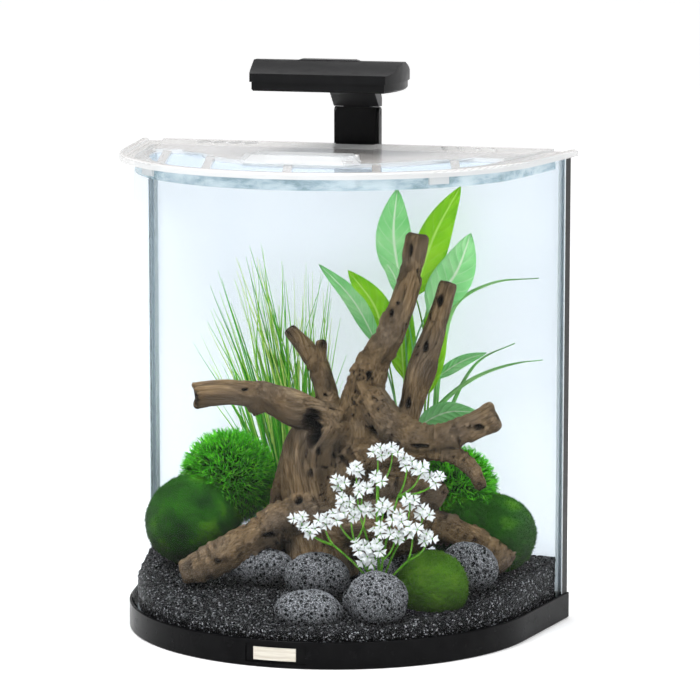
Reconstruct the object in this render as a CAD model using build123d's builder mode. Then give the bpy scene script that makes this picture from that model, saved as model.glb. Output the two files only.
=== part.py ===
"""Half-moon glass aquarium with its base frame, planted aquascape, lift-off lid and fold-up lamp.

Millimetres, +Z up, +X to the right and the curved glass towards -Y. The origin is the bottom
centre of the whole object. Each sub-part is one STEP file in parts/.
"""

import os
from math import cos, radians, sin, tan

from build123d import *

os.makedirs("parts", exist_ok=True)

# Glass tank
TANK_WIDTH = 400.0
TANK_DEPTH = 256.0
GLASS_TOP = 428.0
GLASS = 5.0
FLOOR_GLASS = 6.0
SIDE_TAPER = radians(9.5)
BOND = 0.8
BEAD = 4.4
CORNER_BEAD = 2.6
TRIM_THICK = 1.0
TRIM_SIDE_LEG = 10.0
TRIM_BACK_LEG = 7.0

# Base frame
BASE_HEIGHT = 24.0
BASE_PROUD = 2.5
BASE_CLEARANCE = 0.3
GLASS_SEAT = 8.0
LEDGE = 16.0
RECESS_DEPTH = 1.4
RECESS_BOTTOM = 4.0
RECESS_TOP = 20.5
BADGE_LEFT = -20.0
BADGE_RIGHT = 18.5
BADGE_BOTTOM = 6.2
BADGE_TOP = 17.6
BADGE_THICK = 0.8

# Lid
LID_OVERHANG = 8.0
LID_CLEARANCE = 0.8
LID_BOTTOM = GLASS_TOP + 0.3
LID_PLATE_TOP = LID_BOTTOM + 2.2
LID_PANEL_TOP = LID_PLATE_TOP + 2.3
RIM_BOTTOM = GLASS_TOP - 1.2
RIM_TOP = GLASS_TOP + 4.8
WINDOW_THICK = 1.2
WINDOW_GAP = 0.1
RIB_WIDTH = 7.5
RIB_SLANT = 15.5
SKIRT_THICK = 1.8
SKIRT_BOTTOM = GLASS_TOP - 12.0

# Feeding flap
FLAP_BOTTOM = LID_PANEL_TOP + 0.3
FLAP_TOP = GLASS_TOP + 12.0
FLAP_WALL = 1.6
FLAP_PIN_RADIUS = 1.25
RUNNING_CLEARANCE = 0.05

# Lamp
FILM = 0.5
COLUMN_DEPTH = 11.0
COLUMN_HALF_WIDTH = 21.5
COLUMN_BOTTOM = 404.0
HINGE_Z = 461.0
BARREL_RADIUS = 5.2
KNUCKLE_HALF_WIDTH = 12.5
PIN_RADIUS = 1.5
HOOK_HALF_WIDTH = 19.0
HOOK_PLATE = 2.2
PAD_THICK = 1.6
HEAD_BOTTOM = 489.5
HEAD_SPLIT = 497.6
HEAD_LIP_TOP = 505.1
HEAD_RIDGE = 515.0
SHELL_WALL = 2.0
BUTTON_PROUD = 1.5
BUTTON_GAP = 0.3

# Places worked out from the sizes above
OVERALL_DEPTH = LID_OVERHANG + TANK_DEPTH + FILM + COLUMN_DEPTH
FRONT_Y = LID_OVERHANG - OVERALL_DEPTH / 2
BACK_Y = FRONT_Y + TANK_DEPTH
FRONT_RADIUS = (TANK_WIDTH / 2 * cos(SIDE_TAPER) - TANK_DEPTH * sin(SIDE_TAPER)) / (1 - sin(SIDE_TAPER))
ARC_Y = FRONT_Y + FRONT_RADIUS
FLOOR_TOP = GLASS_SEAT + FLOOR_GLASS
COLUMN_FRONT = BACK_Y + FILM
COLUMN_BACK = COLUMN_FRONT + COLUMN_DEPTH
HINGE_Y = (COLUMN_FRONT + COLUMN_BACK) / 2
FLAP_HINGE_Y = FRONT_Y + 100.0
FLAP_HINGE_Z = LID_PANEL_TOP + 3.2


def save(builder, name):
    """Label a finished sub-part and write it as one STEP file."""
    builder.part.label = name
    export_step(builder.part, f"parts/{name}.step")


def side_x(y, grow=0.0):
    """Half the tank's width at y, with its side moved outward by grow."""
    return TANK_WIDTH / 2 + (y - BACK_Y) * tan(SIDE_TAPER) + grow / cos(SIDE_TAPER)


def half_moon(grow=0.0, back=BACK_Y):
    """The tank's plan, moved outward by grow at the front and sides and cut straight at back."""
    radius = FRONT_RADIUS + grow
    tangent_y = ARC_Y - radius * sin(SIDE_TAPER)
    tangent_x = side_x(tangent_y, grow)
    corner_x = side_x(back, grow)
    with BuildSketch(Plane.XY) as plan:
        with BuildLine():
            Polyline((-tangent_x, tangent_y), (-corner_x, back), (corner_x, back), (tangent_x, tangent_y))
            ThreePointArc((tangent_x, tangent_y), (0, ARC_Y - radius), (-tangent_x, tangent_y))
        make_face()
    return plan.sketch


# --- Base frame -----------------------------------------------------------------------------

base_outline = half_moon(BASE_PROUD, BACK_Y + BASE_PROUD)
glass_seat = half_moon(BASE_CLEARANCE, BACK_Y + BASE_CLEARANCE)
ledge_hole = half_moon(-LEDGE, BACK_Y - LEDGE)
recess_outside = half_moon(BASE_PROUD + 6, BACK_Y)
recess_floor = half_moon(BASE_PROUD - RECESS_DEPTH, BACK_Y)

with BuildPart() as badge_recess:
    with BuildSketch(Plane.XY.offset(RECESS_BOTTOM)):
        Polygon(
            (-25, FRONT_Y + 5), (25, FRONT_Y + 5), (29.5, FRONT_Y - 5), (-29.5, FRONT_Y - 5), align=None
        )
        add(recess_outside, mode=Mode.INTERSECT)
        add(recess_floor, mode=Mode.SUBTRACT)
    extrude(amount=RECESS_TOP - RECESS_BOTTOM)

with BuildPart() as base_frame:
    with BuildSketch():
        add(base_outline)
    extrude(amount=BASE_HEIGHT)
    fillet(base_frame.faces().sort_by(Axis.Z)[-1].edges(), radius=1.0)
    chamfer(base_frame.faces().sort_by(Axis.Z)[0].edges(), length=0.8)
    with BuildSketch(Plane.XY.offset(GLASS_SEAT)):
        add(glass_seat)
    extrude(amount=BASE_HEIGHT, mode=Mode.SUBTRACT)
    with BuildSketch():
        add(ledge_hole)
    extrude(amount=GLASS_SEAT, mode=Mode.SUBTRACT)
    add(badge_recess.part, mode=Mode.SUBTRACT)
save(base_frame, "base_frame")

with BuildPart() as support_mat:
    with BuildSketch():
        add(half_moon(-LEDGE - 0.5, BACK_Y - LEDGE - 0.5))
    extrude(amount=GLASS_SEAT)
save(support_mat, "support_mat")

badge_back = half_moon(BASE_PROUD - RECESS_DEPTH + 0.05, BACK_Y)
badge_front = half_moon(BASE_PROUD - RECESS_DEPTH + 0.05 + BADGE_THICK, BACK_Y)
with BuildPart() as badge_plate:
    with BuildSketch(Plane.XY.offset(BADGE_BOTTOM)):
        Polygon(
            (BADGE_LEFT, FRONT_Y + 5),
            (BADGE_RIGHT, FRONT_Y + 5),
            (BADGE_RIGHT, FRONT_Y - 5),
            (BADGE_LEFT, FRONT_Y - 5),
            align=None,
        )
        add(badge_front, mode=Mode.INTERSECT)
        add(badge_back, mode=Mode.SUBTRACT)
    extrude(amount=BADGE_TOP - BADGE_BOTTOM)
save(badge_plate, "badge_plate")

# --- Glass and silicone ---------------------------------------------------------------------

with BuildPart() as curved_glass:
    with BuildSketch(Plane.XY.offset(GLASS_SEAT)):
        add(half_moon())
        add(half_moon(-GLASS, BACK_Y + 1), mode=Mode.SUBTRACT)
    extrude(amount=GLASS_TOP - GLASS_SEAT)
save(curved_glass, "curved_glass")

with BuildPart() as back_glass:
    with BuildSketch(Plane.XY.offset(GLASS_SEAT)):
        add(half_moon(-GLASS - BOND))
        add(half_moon(1, BACK_Y - GLASS), mode=Mode.SUBTRACT)
    extrude(amount=GLASS_TOP - GLASS_SEAT)
save(back_glass, "back_glass")

with BuildPart() as floor_glass:
    with BuildSketch(Plane.XY.offset(GLASS_SEAT)):
        add(half_moon(-GLASS - BOND, BACK_Y - GLASS - BOND))
    extrude(amount=FLOOR_GLASS)
save(floor_glass, "floor_glass")

with BuildPart() as floor_seal:
    with BuildSketch(Plane.XY.offset(FLOOR_TOP)):
        add(half_moon(-GLASS, BACK_Y - GLASS))
    extrude(amount=BEAD)
    with BuildSketch(Plane.XY.offset(FLOOR_TOP)):
        add(half_moon(-GLASS - BEAD, BACK_Y - GLASS - BEAD))
    with BuildSketch(Plane.XY.offset(FLOOR_TOP + BEAD)):
        add(half_moon(-GLASS - 0.4, BACK_Y - GLASS - 0.4))
    loft(mode=Mode.SUBTRACT)
save(floor_seal, "floor_seal")

corner_seals = {}
for side, side_name in ((-1, "left"), (1, "right")):
    inner_back = BACK_Y - GLASS
    with BuildPart() as corner_seal:
        with BuildSketch(Plane.XY.offset(FLOOR_TOP + BEAD)):
            Polygon(
                (side * side_x(BACK_Y, -GLASS), BACK_Y),
                (side * side_x(BACK_Y, -GLASS - BOND), BACK_Y),
                (side * side_x(inner_back, -GLASS - BOND), inner_back),
                (side * (side_x(inner_back, -GLASS) - CORNER_BEAD), inner_back),
                (side * side_x(inner_back - 1.4 * CORNER_BEAD, -GLASS), inner_back - 1.4 * CORNER_BEAD),
                align=None,
            )
        extrude(amount=GLASS_TOP - 1 - FLOOR_TOP - BEAD)
    corner_seals[side] = corner_seal.part
    save(corner_seal, f"corner_seal_{side_name}")

with BuildPart() as backing_film:
    with BuildSketch(Plane.XY.offset(BASE_HEIGHT + 1)):
        Polygon(
            (-side_x(BACK_Y, -1), BACK_Y),
            (side_x(BACK_Y, -1), BACK_Y),
            (side_x(BACK_Y, -1), BACK_Y + FILM),
            (-side_x(BACK_Y, -1), BACK_Y + FILM),
            align=None,
        )
    extrude(amount=GLASS_TOP - BASE_HEIGHT - 2)
save(backing_film, "backing_film")

trim_outside = half_moon(TRIM_THICK, BACK_Y + FILM + TRIM_THICK)
trim_inside = half_moon(0, BACK_Y + FILM)
for side, side_name in ((-1, "left"), (1, "right")):
    with BuildPart() as edge_trim:
        with BuildSketch(Plane.XY.offset(BASE_HEIGHT + 0.2)):
            add(trim_outside)
            add(trim_inside, mode=Mode.SUBTRACT)
            with Locations((side * TANK_WIDTH / 2, BACK_Y)):
                Rectangle(2 * TRIM_BACK_LEG, 2 * TRIM_SIDE_LEG, mode=Mode.INTERSECT)
        extrude(amount=RIM_BOTTOM - 0.6 - BASE_HEIGHT - 0.2)
    save(edge_trim, f"edge_trim_{side_name}")

# --- Gravel, wood and stones ----------------------------------------------------------------

GRAVEL_FRONT = 31.0
GRAVEL_BACK = 60.0


def gravel_z(y):
    """Height of the gravel's surface, which rises towards the back."""
    return GRAVEL_FRONT + (GRAVEL_BACK - GRAVEL_FRONT) * (y - FRONT_Y) / TANK_DEPTH


gravel_slope = Plane(
    origin=(0, FRONT_Y, GRAVEL_FRONT),
    x_dir=(1, 0, 0),
    z_dir=(0, GRAVEL_FRONT - GRAVEL_BACK, TANK_DEPTH),
)
with BuildPart() as gravel_bed:
    with BuildSketch(Plane.XY.offset(FLOOR_TOP)):
        add(half_moon(-GLASS - 0.2, BACK_Y - GLASS - 0.2))
    extrude(amount=GRAVEL_BACK)
    split(bisect_by=gravel_slope, keep=Keep.BOTTOM)
    add(floor_seal.part, mode=Mode.SUBTRACT)
    add(corner_seals[-1], mode=Mode.SUBTRACT)
    add(corner_seals[1], mode=Mode.SUBTRACT)
save(gravel_bed, "gravel_bed")


def limb(stations):
    """A round limb lofted through stations of x, y, z and radius."""
    points = [Vector(*station[:3]) for station in stations]
    last = len(points) - 1
    with BuildPart() as wood:
        for index, station in enumerate(stations):
            ahead = points[min(index + 1, last)] - points[max(index - 1, 0)]
            across = Vector(0, 1, 0).cross(ahead)
            with BuildSketch(Plane(origin=points[index], x_dir=across, z_dir=ahead)):
                Circle(station[3])
        loft()
    return wood.part


# x, y, z and radius along the trunk and each limb of the driftwood
WOOD = [
    [(0, 24, 46, 40), (-4, 24, 75, 37), (-6, 24, 120, 34), (-4, 22, 166, 31), (14, 20, 202, 24)],
    [(16, 16, 190, 19), (-16, 6, 202, 18), (-43, -6, 216, 15), (-68, -16, 221, 14), (-104, -28, 218, 13)],
    [(6, 22, 200, 15), (-5, 26, 237, 11), (-20, 29, 256, 9), (-35, 31, 272, 6.5)],
    [(-6, 26, 236, 8), (-3, 24, 263, 5)],
    [(35, 22, 176, 20), (35, 22, 211, 18.5), (44, 24, 245, 18), (60, 28, 275, 15), (78, 34, 326, 11)],
    [(74, 33, 316, 11.5), (78, 35, 336, 10.5), (82, 37, 360, 9.5)],
    [(70, 26, 180, 15), (80, 33, 216, 12.5), (89, 40, 252, 12.5), (98, 46, 284, 11), (106, 52, 316, 9.5)],
    [(42, 14, 222, 15), (64, 10, 195, 17), (93, 8, 183, 15), (120, 10, 186, 12.5), (158, 16, 203, 13.5)],
    [(59, 14, 165, 13), (92, 12, 170, 10.5), (120, 10, 170, 8.5), (139, 8, 158, 7.5), (150, 6, 141, 5)],
    [(8, 20, 128, 25), (34, 20, 160, 23), (62, 18, 172, 17), (92, 14, 178, 12)],
    [(-4, 16, 108, 30), (-36, 2, 101, 21), (-65, -10, 82, 17), (-94, -20, 65, 17), (-118, -26, 54, 13)],
    [(-30, 38, 170, 10), (-42, 38, 132, 12), (-46, 38, 95, 15), (-50, 38, 66, 17)],
    [(19, 22, 106, 30), (69, 28, 103, 21), (109, 36, 97, 18), (145, 46, 79, 14), (162, 50, 62, 12.5)],
]
limbs = [limb(stations) for stations in WOOD]
with BuildPart() as driftwood:
    for branch in limbs:
        add(branch)
save(driftwood, "driftwood")

# name, centre, half sizes and turn about Z
pebbles = [
    ("lava_stone_front", (17, -86, 41), (32, 24, 20), 8),
    ("lava_stone_middle", (77, -76, 53), (28, 25, 27), 0),
    ("lava_stone_left", (12, -42, 61), (31, 19, 24), -6),
    ("lava_stone_right", (138, 9, 68), (28, 19, 24), 6),
    ("lava_stone_behind", (-50, -8, 60), (34, 17, 19), 6),
    ("lava_stone_inner", (62, -20, 58), (20, 18, 22), 0),
    ("lava_stone_small", (46, -56, 46), (7, 8, 11), 0),
    ("moss_stone", (115, -33, 58), (33, 25, 33), 0),
    ("moss_ball_left", (-130, 38, 90), (46, 42, 44), 0),
    ("moss_mound_right", (146, 76, 86), (38, 34, 38), 0),
    ("moss_mound_middle", (118, 56, 96), (31, 24, 36), 0),
]
for name, centre, half_size, turn in pebbles:
    with BuildPart() as pebble:
        Sphere(1)
        scale(by=half_size)
    with BuildPart(Plane(centre).rotated((0, 0, turn))) as placed:
        add(pebble.part)
    save(placed, name)

# --- Plants ---------------------------------------------------------------------------------


def spike(start, end, base_radius, tip_radius):
    """A straight round stem that narrows from start to end."""
    line = Vector(*end) - Vector(*start)
    with BuildPart(Plane(origin=start, z_dir=line)) as stem:
        Cone(base_radius, tip_radius, line.length, align=(Align.CENTER, Align.CENTER, Align.MIN))
    return stem.part


CROWN_HEIGHT = 6.0
STEM_DEPTH = 6.0
for name, centre, radius in (
    ("grass_ball_left", (-106, 70, 126), 48),
    ("grass_ball_right", (106, 76, 124), 44),
):
    foot = (centre[0], centre[1], gravel_z(centre[1]) - STEM_DEPTH)
    stem = spike(foot, centre, 14, 12)
    with BuildPart() as grass_ball:
        with Locations(centre):
            Sphere(radius)
        add(stem)
    save(grass_ball, name)


def blade(start, end, base_width, tip_width=1.2):
    """A straight square blade that narrows from start to end."""
    line = Vector(*end) - Vector(*start)
    with BuildPart() as strip:
        with BuildSketch(Plane(origin=start, z_dir=line)):
            Rectangle(base_width, base_width)
        with BuildSketch(Plane(origin=end, z_dir=line)):
            Rectangle(tip_width, tip_width)
        loft(ruled=True)
    return strip.part


def tuft(root, tips, crown_radius, base_width):
    """Straight blades that fan out from a low twelve-sided crown in the gravel."""
    with BuildPart() as fan:
        with BuildSketch(Plane.XY.offset(root[2] - CROWN_HEIGHT / 2)):
            with Locations(root[:2]):
                RegularPolygon(crown_radius, 12)
        extrude(amount=CROWN_HEIGHT)
        for tip in tips:
            lean = (Vector(*tip) - Vector(*root)).normalized() * crown_radius * 0.75
            start = (root[0] + lean.X, root[1] + lean.Y, root[2] + 1)
            add(blade(start, tip, base_width))
    return fan


GRASS_TIPS = [(-146, 84, 312), (-126, 94, 336), (-108, 98, 322), (-90, 92, 345), (-70, 98, 330)]
GRASS_TIPS += [(-50, 94, 338), (-32, 92, 322), (-12, 92, 308), (2, 88, 290)]
save(tuft((-48, 98, 56), GRASS_TIPS, 9, 2.8), "grass_clump")


def leaf(root, foot, tip, half_width):
    """A flat pointed leaf from foot to tip, on a stem that comes up from the root."""
    line = Vector(*tip) - Vector(*foot)
    length = line.length
    across = line.cross(Vector(0, 1, 0))
    face = Plane(origin=foot, x_dir=across, z_dir=across.cross(line))
    with BuildPart() as plate:
        with BuildSketch(face):
            with BuildLine():
                ThreePointArc((0, -length * 0.06), (half_width, length * 0.45), (0, length))
                ThreePointArc((0, length), (-half_width, length * 0.45), (0, -length * 0.06))
            make_face()
        extrude(amount=0.7, both=True)
        add(blade(root, foot, 2.6, 2.2))
    return plate.part


LEAF_ROOT = (62, 98, 50)
# foot and tip of each leaf, and its half width
LEAVES = [
    ((50, 97, 312), (48, 94, 397), 17),
    ((64, 99, 300), (107, 98, 400), 17),
    ((78, 95, 288), (118, 90, 359), 18),
    ((28, 97, 252), (-27, 94, 325), 9),
    ((36, 100, 248), (0, 95, 320), 14),
    ((52, 95, 296), (31, 96, 334), 7),
    ((54, 102, 318), (26, 98, 351), 4),
    ((52, 103, 222), (54, 102, 302), 13),
    ((70, 89, 180), (128, 80, 196), 10),
    ((84, 101, 222), (132, 98, 249), 6),
]
with BuildPart() as broad_leaf_plant:
    with BuildSketch(Plane.XY.offset(LEAF_ROOT[2] - CROWN_HEIGHT / 2)):
        with Locations(LEAF_ROOT[:2]):
            RegularPolygon(6, 12)
    extrude(amount=CROWN_HEIGHT)
    for foot, tip, half_width in LEAVES:
        add(leaf(LEAF_ROOT, foot, tip, half_width))
save(broad_leaf_plant, "broad_leaf_plant")

RIBBON_ROOT = (88, 110, 57)
RIBBONS = [
    [(86, 106, 240), (104, 102, 296), (134, 100, 312), (179, 98, 320)],
    [(80, 104, 190), (116, 98, 223), (160, 96, 241), (184, 95, 246)],
    [(98, 108, 200), (122, 106, 240), (156, 104, 258)],
]
with BuildPart() as ribbon_plant:
    with BuildSketch(Plane.XY.offset(RIBBON_ROOT[2] - CROWN_HEIGHT / 2)):
        with Locations(RIBBON_ROOT[:2]):
            RegularPolygon(6, 12)
    extrude(amount=CROWN_HEIGHT)
    for bends in RIBBONS:
        for start, end in zip([RIBBON_ROOT] + bends[:-1], bends):
            add(blade(start, end, 3.4, 3.0))
            with Locations(start):
                Box(3.4, 3.4, 3.4)
save(ribbon_plant, "ribbon_plant")

FLOWER_ROOT = (70, -48, 42)
HEAD_RADIUS = 6.5
# where each stem branches, and the flower heads above that branch
FLOWERS = [
    ((70, -50, 146), [(70, -50, 180), (84, -52, 182)]),
    ((88, -50, 140), [(97, -50, 172), (109, -51, 166), (122, -50, 158)]),
    ((54, -52, 122), [(36, -52, 151), (50, -50, 163), (56, -53, 147), (41, -54, 135)]),
    ((30, -52, 94), [(-2, -50, 115), (9, -54, 107), (21, -50, 116)]),
    ((50, -54, 98), [(34, -54, 122), (47, -56, 125), (60, -54, 128)]),
    ((70, -54, 112), [(70, -54, 156), (77, -56, 132)]),
    ((90, -52, 100), [(90, -54, 122), (100, -52, 138), (112, -50, 128)]),
    ((76, -56, 84), [(73, -58, 112), (88, -56, 108)]),
    ((98, -52, 84), [(103, -56, 114), (116, -52, 106)]),
    ((62, -54, 72), [(71, -58, 96), (56, -56, 96), (62, -56, 84)]),
]
flower_pieces = []
for fork, heads in FLOWERS:
    flower_pieces.append(blade(FLOWER_ROOT, fork, 2.2, 1.8))
    for head in heads:
        flower_pieces.append(blade(fork, head, 1.6, 1.2))
        with BuildPart() as flower_head:
            with BuildSketch(Plane.XY.offset(head[2] - HEAD_RADIUS)):
                with Locations(head[:2]):
                    RegularPolygon(HEAD_RADIUS, 8)
            extrude(amount=2 * HEAD_RADIUS)
        flower_pieces.append(flower_head.part)
with BuildPart() as flower_plant:
    with BuildSketch(Plane.XY.offset(FLOWER_ROOT[2] - CROWN_HEIGHT / 2)):
        with Locations(FLOWER_ROOT[:2]):
            RegularPolygon(5, 12)
    extrude(amount=CROWN_HEIGHT)
    add(flower_pieces)
save(flower_plant, "flower_plant")

# --- Lid ------------------------------------------------------------------------------------

WINDOW_OUTER_RADIUS = 160.0
WINDOW_INNER_RADIUS = 120.0
WINDOW_OUTER_Y = FRONT_Y + 4.0 + WINDOW_OUTER_RADIUS
WINDOW_INNER_Y = FRONT_Y + 68.0 + WINDOW_INNER_RADIUS
WINDOW_BACK_Y = FRONT_Y + 158.0
RIB_PLACES = [(-136, -20), (-82, -60), (-2, -84), (76, -78), (130, -16)]
NOTCH_HALF_WIDTH = HOOK_HALF_WIDTH + 0.6
NOTCH_FRONT = BACK_Y - GLASS - PAD_THICK - HOOK_PLATE - 0.6

with BuildSketch(Plane.XY) as window_band:
    with Locations((0, WINDOW_OUTER_Y)):
        Circle(WINDOW_OUTER_RADIUS)
    with Locations((0, WINDOW_INNER_Y)):
        Circle(WINDOW_INNER_RADIUS, mode=Mode.SUBTRACT)
    with Locations((0, WINDOW_BACK_Y + TANK_WIDTH / 2)):
        Rectangle(TANK_WIDTH, TANK_WIDTH, mode=Mode.SUBTRACT)
window_outline = window_band.sketch

with BuildSketch(Plane.XY) as rib_strips:
    for place in RIB_PLACES:
        with Locations(Location(place, RIB_SLANT)):
            Rectangle(RIB_WIDTH, TANK_DEPTH / 2)
    add(window_outline, mode=Mode.INTERSECT)
rib_outline = rib_strips.sketch

with BuildSketch(Plane.XY) as pane_shapes:
    add(window_outline)
    add(rib_outline, mode=Mode.SUBTRACT)
pane_outline = pane_shapes.sketch

with BuildSketch(Plane.XY) as panel_shape:
    with BuildLine():
        Polyline(
            (-186, BACK_Y),
            (-163, WINDOW_BACK_Y),
            (163, WINDOW_BACK_Y),
            (186, BACK_Y),
            (-186, BACK_Y),
        )
    make_face()
    with Locations((0, WINDOW_INNER_Y)):
        Circle(WINDOW_INNER_RADIUS)
    with Locations((0, BACK_Y + TANK_WIDTH / 2)):
        Rectangle(TANK_WIDTH, TANK_WIDTH, mode=Mode.SUBTRACT)
panel_outline = panel_shape.sketch

with BuildSketch(Plane.XY) as wing_shape:
    with BuildLine():
        Polyline((-146, 48), (-100, 52), (-70, 14), (-68, -8), (-90, -10), (-128, 14), (-146, 48))
    make_face()
    fillet(wing_shape.vertices(), radius=7)
    mirror(about=Plane.YZ)
wing_outline = wing_shape.sketch

HATCH_HALF_WIDTH = 38.0
HATCH_FRONT = FRONT_Y + 74.0
HATCH_BACK = FRONT_Y + 94.0

with BuildSketch(Plane.XY) as hatch_shape:
    with Locations((0, (HATCH_FRONT + HATCH_BACK) / 2)):
        RectangleRounded(2 * HATCH_HALF_WIDTH, HATCH_BACK - HATCH_FRONT, 4)
hatch_outline = hatch_shape.sketch

with BuildSketch(Plane.XY) as notch_shape:
    with Locations((0, (NOTCH_FRONT + BACK_Y + 5) / 2)):
        Rectangle(2 * NOTCH_HALF_WIDTH, BACK_Y + 5 - NOTCH_FRONT)
notch_outline = notch_shape.sketch

LINE_INSET = 14.0
LINE_WIDTH = 1.2
LINE_HEIGHT = 0.7
line_outer = half_moon(-LINE_INSET, BACK_Y - LINE_INSET - 8)
line_inner = half_moon(-LINE_INSET - LINE_WIDTH, BACK_Y - LINE_INSET - 8 - LINE_WIDTH)
lid_outline = half_moon(LID_OVERHANG)
rim_inside = half_moon(LID_CLEARANCE, BACK_Y + 1)

with BuildPart() as lid_rim:
    with BuildSketch(Plane.XY.offset(RIM_BOTTOM)):
        add(lid_outline)
        add(rim_inside, mode=Mode.SUBTRACT)
    extrude(amount=RIM_TOP - RIM_BOTTOM)
    fillet(lid_rim.faces().sort_by(Axis.Z)[-1].edges().filter_by(Axis.Y, reverse=True), radius=2.2)

WING_HEIGHT = 1.4
FIN_COUNT = 4
FIN_FIRST_X = 92.0
FIN_PITCH = 15.0
FIN_TURN = 28
FIN_HEIGHT = 2.0
FLAP_EAR_X = 43.0
LUG_RADIUS = 2.8
LUG_GAP = 0.4
LUG_WIDTH = 3.0
LUG_X = FLAP_EAR_X + LUG_GAP + LUG_WIDTH / 2

with BuildPart() as lid_panel:
    add(lid_rim.part)
    with BuildSketch(Plane.XY.offset(LID_BOTTOM)):
        add(half_moon(LID_CLEARANCE + 0.5))
    extrude(amount=LID_PLATE_TOP - LID_BOTTOM)
    with BuildSketch(Plane.XY.offset(LID_PLATE_TOP)):
        add(line_outer)
        add(line_inner, mode=Mode.SUBTRACT)
    extrude(amount=LINE_HEIGHT)
    with BuildSketch(Plane.XY.offset(LID_PLATE_TOP)):
        add(panel_outline)
    extrude(amount=LID_PANEL_TOP - LID_PLATE_TOP)
    with BuildSketch(Plane.XY.offset(LID_BOTTOM)):
        add(window_outline)
    extrude(amount=RIM_TOP, mode=Mode.SUBTRACT)
    with BuildSketch(Plane.XY.offset(LID_BOTTOM)):
        add(rib_outline)
    extrude(amount=LID_PLATE_TOP + 1 - LID_BOTTOM)
    with BuildSketch(Plane.XY.offset(LID_PANEL_TOP)):
        add(wing_outline)
    extrude(amount=WING_HEIGHT, taper=25)
    for wing_side in (-1, 1):
        for fin in range(FIN_COUNT):
            fin_x = wing_side * (FIN_FIRST_X + FIN_PITCH * fin)
            with BuildSketch(Plane.XY.offset(LID_PANEL_TOP)):
                with Locations(Location((fin_x, BACK_Y - 32), wing_side * FIN_TURN)):
                    SlotOverall(18, 3.2, rotation=90)
            extrude(amount=FIN_HEIGHT)
    with BuildSketch(Plane.YZ):
        with Locations((FLAP_HINGE_Y, FLAP_HINGE_Z)):
            Circle(LUG_RADIUS)
        with Locations((FLAP_HINGE_Y, (LID_PANEL_TOP + FLAP_HINGE_Z) / 2)):
            Rectangle(2 * LUG_RADIUS, FLAP_HINGE_Z - LID_PANEL_TOP)
        with Locations((FLAP_HINGE_Y, FLAP_HINGE_Z)):
            Circle(FLAP_PIN_RADIUS, mode=Mode.SUBTRACT)
    extrude(amount=LUG_X + LUG_WIDTH / 2, both=True)
    with Locations((0, FLAP_HINGE_Y, LID_PANEL_TOP + 5)):
        Box(2 * (LUG_X - LUG_WIDTH / 2), 12, 10, mode=Mode.SUBTRACT)
    with BuildSketch(Plane.XY.offset(LID_BOTTOM)):
        add(hatch_outline)
        add(notch_outline)
    extrude(amount=RIM_TOP, mode=Mode.SUBTRACT)
save(lid_panel, "lid_panel")

with BuildPart() as lid_windows:
    with BuildSketch(Plane.XY.offset(LID_BOTTOM)):
        add(pane_outline)
        offset(amount=-WINDOW_GAP, kind=Kind.INTERSECTION)
    extrude(amount=WINDOW_THICK)
save(lid_windows, "lid_windows")

SKIRT_BACK = BACK_Y - GLASS - 12.0
with BuildPart() as lid_skirt:
    with BuildSketch(Plane.XY.offset(SKIRT_BOTTOM)):
        add(half_moon(-GLASS - LID_CLEARANCE, SKIRT_BACK))
        add(half_moon(-GLASS - LID_CLEARANCE - SKIRT_THICK, SKIRT_BACK + 1), mode=Mode.SUBTRACT)
    extrude(amount=LID_BOTTOM - SKIRT_BOTTOM)
save(lid_skirt, "lid_skirt")

CLIP_ANGLE = 44.5
CLIP_WIDTH = 19.0
CLIP_HEIGHT = 6.5
clip_outside = half_moon(LID_CLEARANCE + 2.4)
clip_inside = half_moon(LID_CLEARANCE, BACK_Y + 1)
with BuildPart() as lid_clips:
    for angle in (-90 - CLIP_ANGLE, -90 + CLIP_ANGLE):
        with BuildSketch(Plane.XY.offset(RIM_BOTTOM - CLIP_HEIGHT)):
            with Locations((0, ARC_Y)):
                with PolarLocations(FRONT_RADIUS, 1, start_angle=angle):
                    Rectangle(30, CLIP_WIDTH)
            add(clip_outside, mode=Mode.INTERSECT)
            add(clip_inside, mode=Mode.SUBTRACT)
        extrude(amount=CLIP_HEIGHT)
save(lid_clips, "lid_clips")

# --- Feeding flap ---------------------------------------------------------------------------


def flap_block(inset, bottom, top):
    """The flap's bevelled six-sided block, made smaller all round by inset."""
    lower = [(46, 55), (56, 72), (50, 97.2), (-50, 97.2), (-56, 72), (-46, 55)]
    upper = [(40, 63), (48, 74), (43, 95), (-43, 95), (-48, 74), (-40, 63)]
    with BuildPart() as block:
        for corners, height in ((lower, bottom), (upper, top)):
            with BuildSketch(Plane.XY.offset(height)):
                with Locations((0, FRONT_Y)):
                    Polygon(*corners, align=None)
                if inset:
                    offset(amount=-inset, kind=Kind.INTERSECTION)
        loft(ruled=True)
    return block.part


flap_shell = flap_block(0, FLAP_BOTTOM, FLAP_TOP)
flap_hollow = flap_block(FLAP_WALL, FLAP_BOTTOM, FLAP_TOP - FLAP_WALL)
EAR_WIDTH = 4.0
EAR_RADIUS = 2.6
with BuildPart() as feeding_flap:
    add(flap_shell)
    add(flap_hollow, mode=Mode.SUBTRACT)
    with Locations((0, FLAP_HINGE_Y, FLAP_HINGE_Z)):
        Box(2 * (FLAP_EAR_X + LUG_WIDTH + 2), 6.6, 12, mode=Mode.SUBTRACT)
    for ear_side in (-1, 1):
        with BuildSketch(Plane.YZ.offset(ear_side * (FLAP_EAR_X - EAR_WIDTH / 2))):
            with Locations((FLAP_HINGE_Y, FLAP_HINGE_Z)):
                Circle(EAR_RADIUS)
            with Locations((FLAP_HINGE_Y - 3.5, FLAP_HINGE_Z + 0.8)):
                Rectangle(7, 3.6)
            with Locations((FLAP_HINGE_Y, FLAP_HINGE_Z)):
                Circle(FLAP_PIN_RADIUS + RUNNING_CLEARANCE, mode=Mode.SUBTRACT)
        extrude(amount=EAR_WIDTH / 2, both=True)
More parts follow.
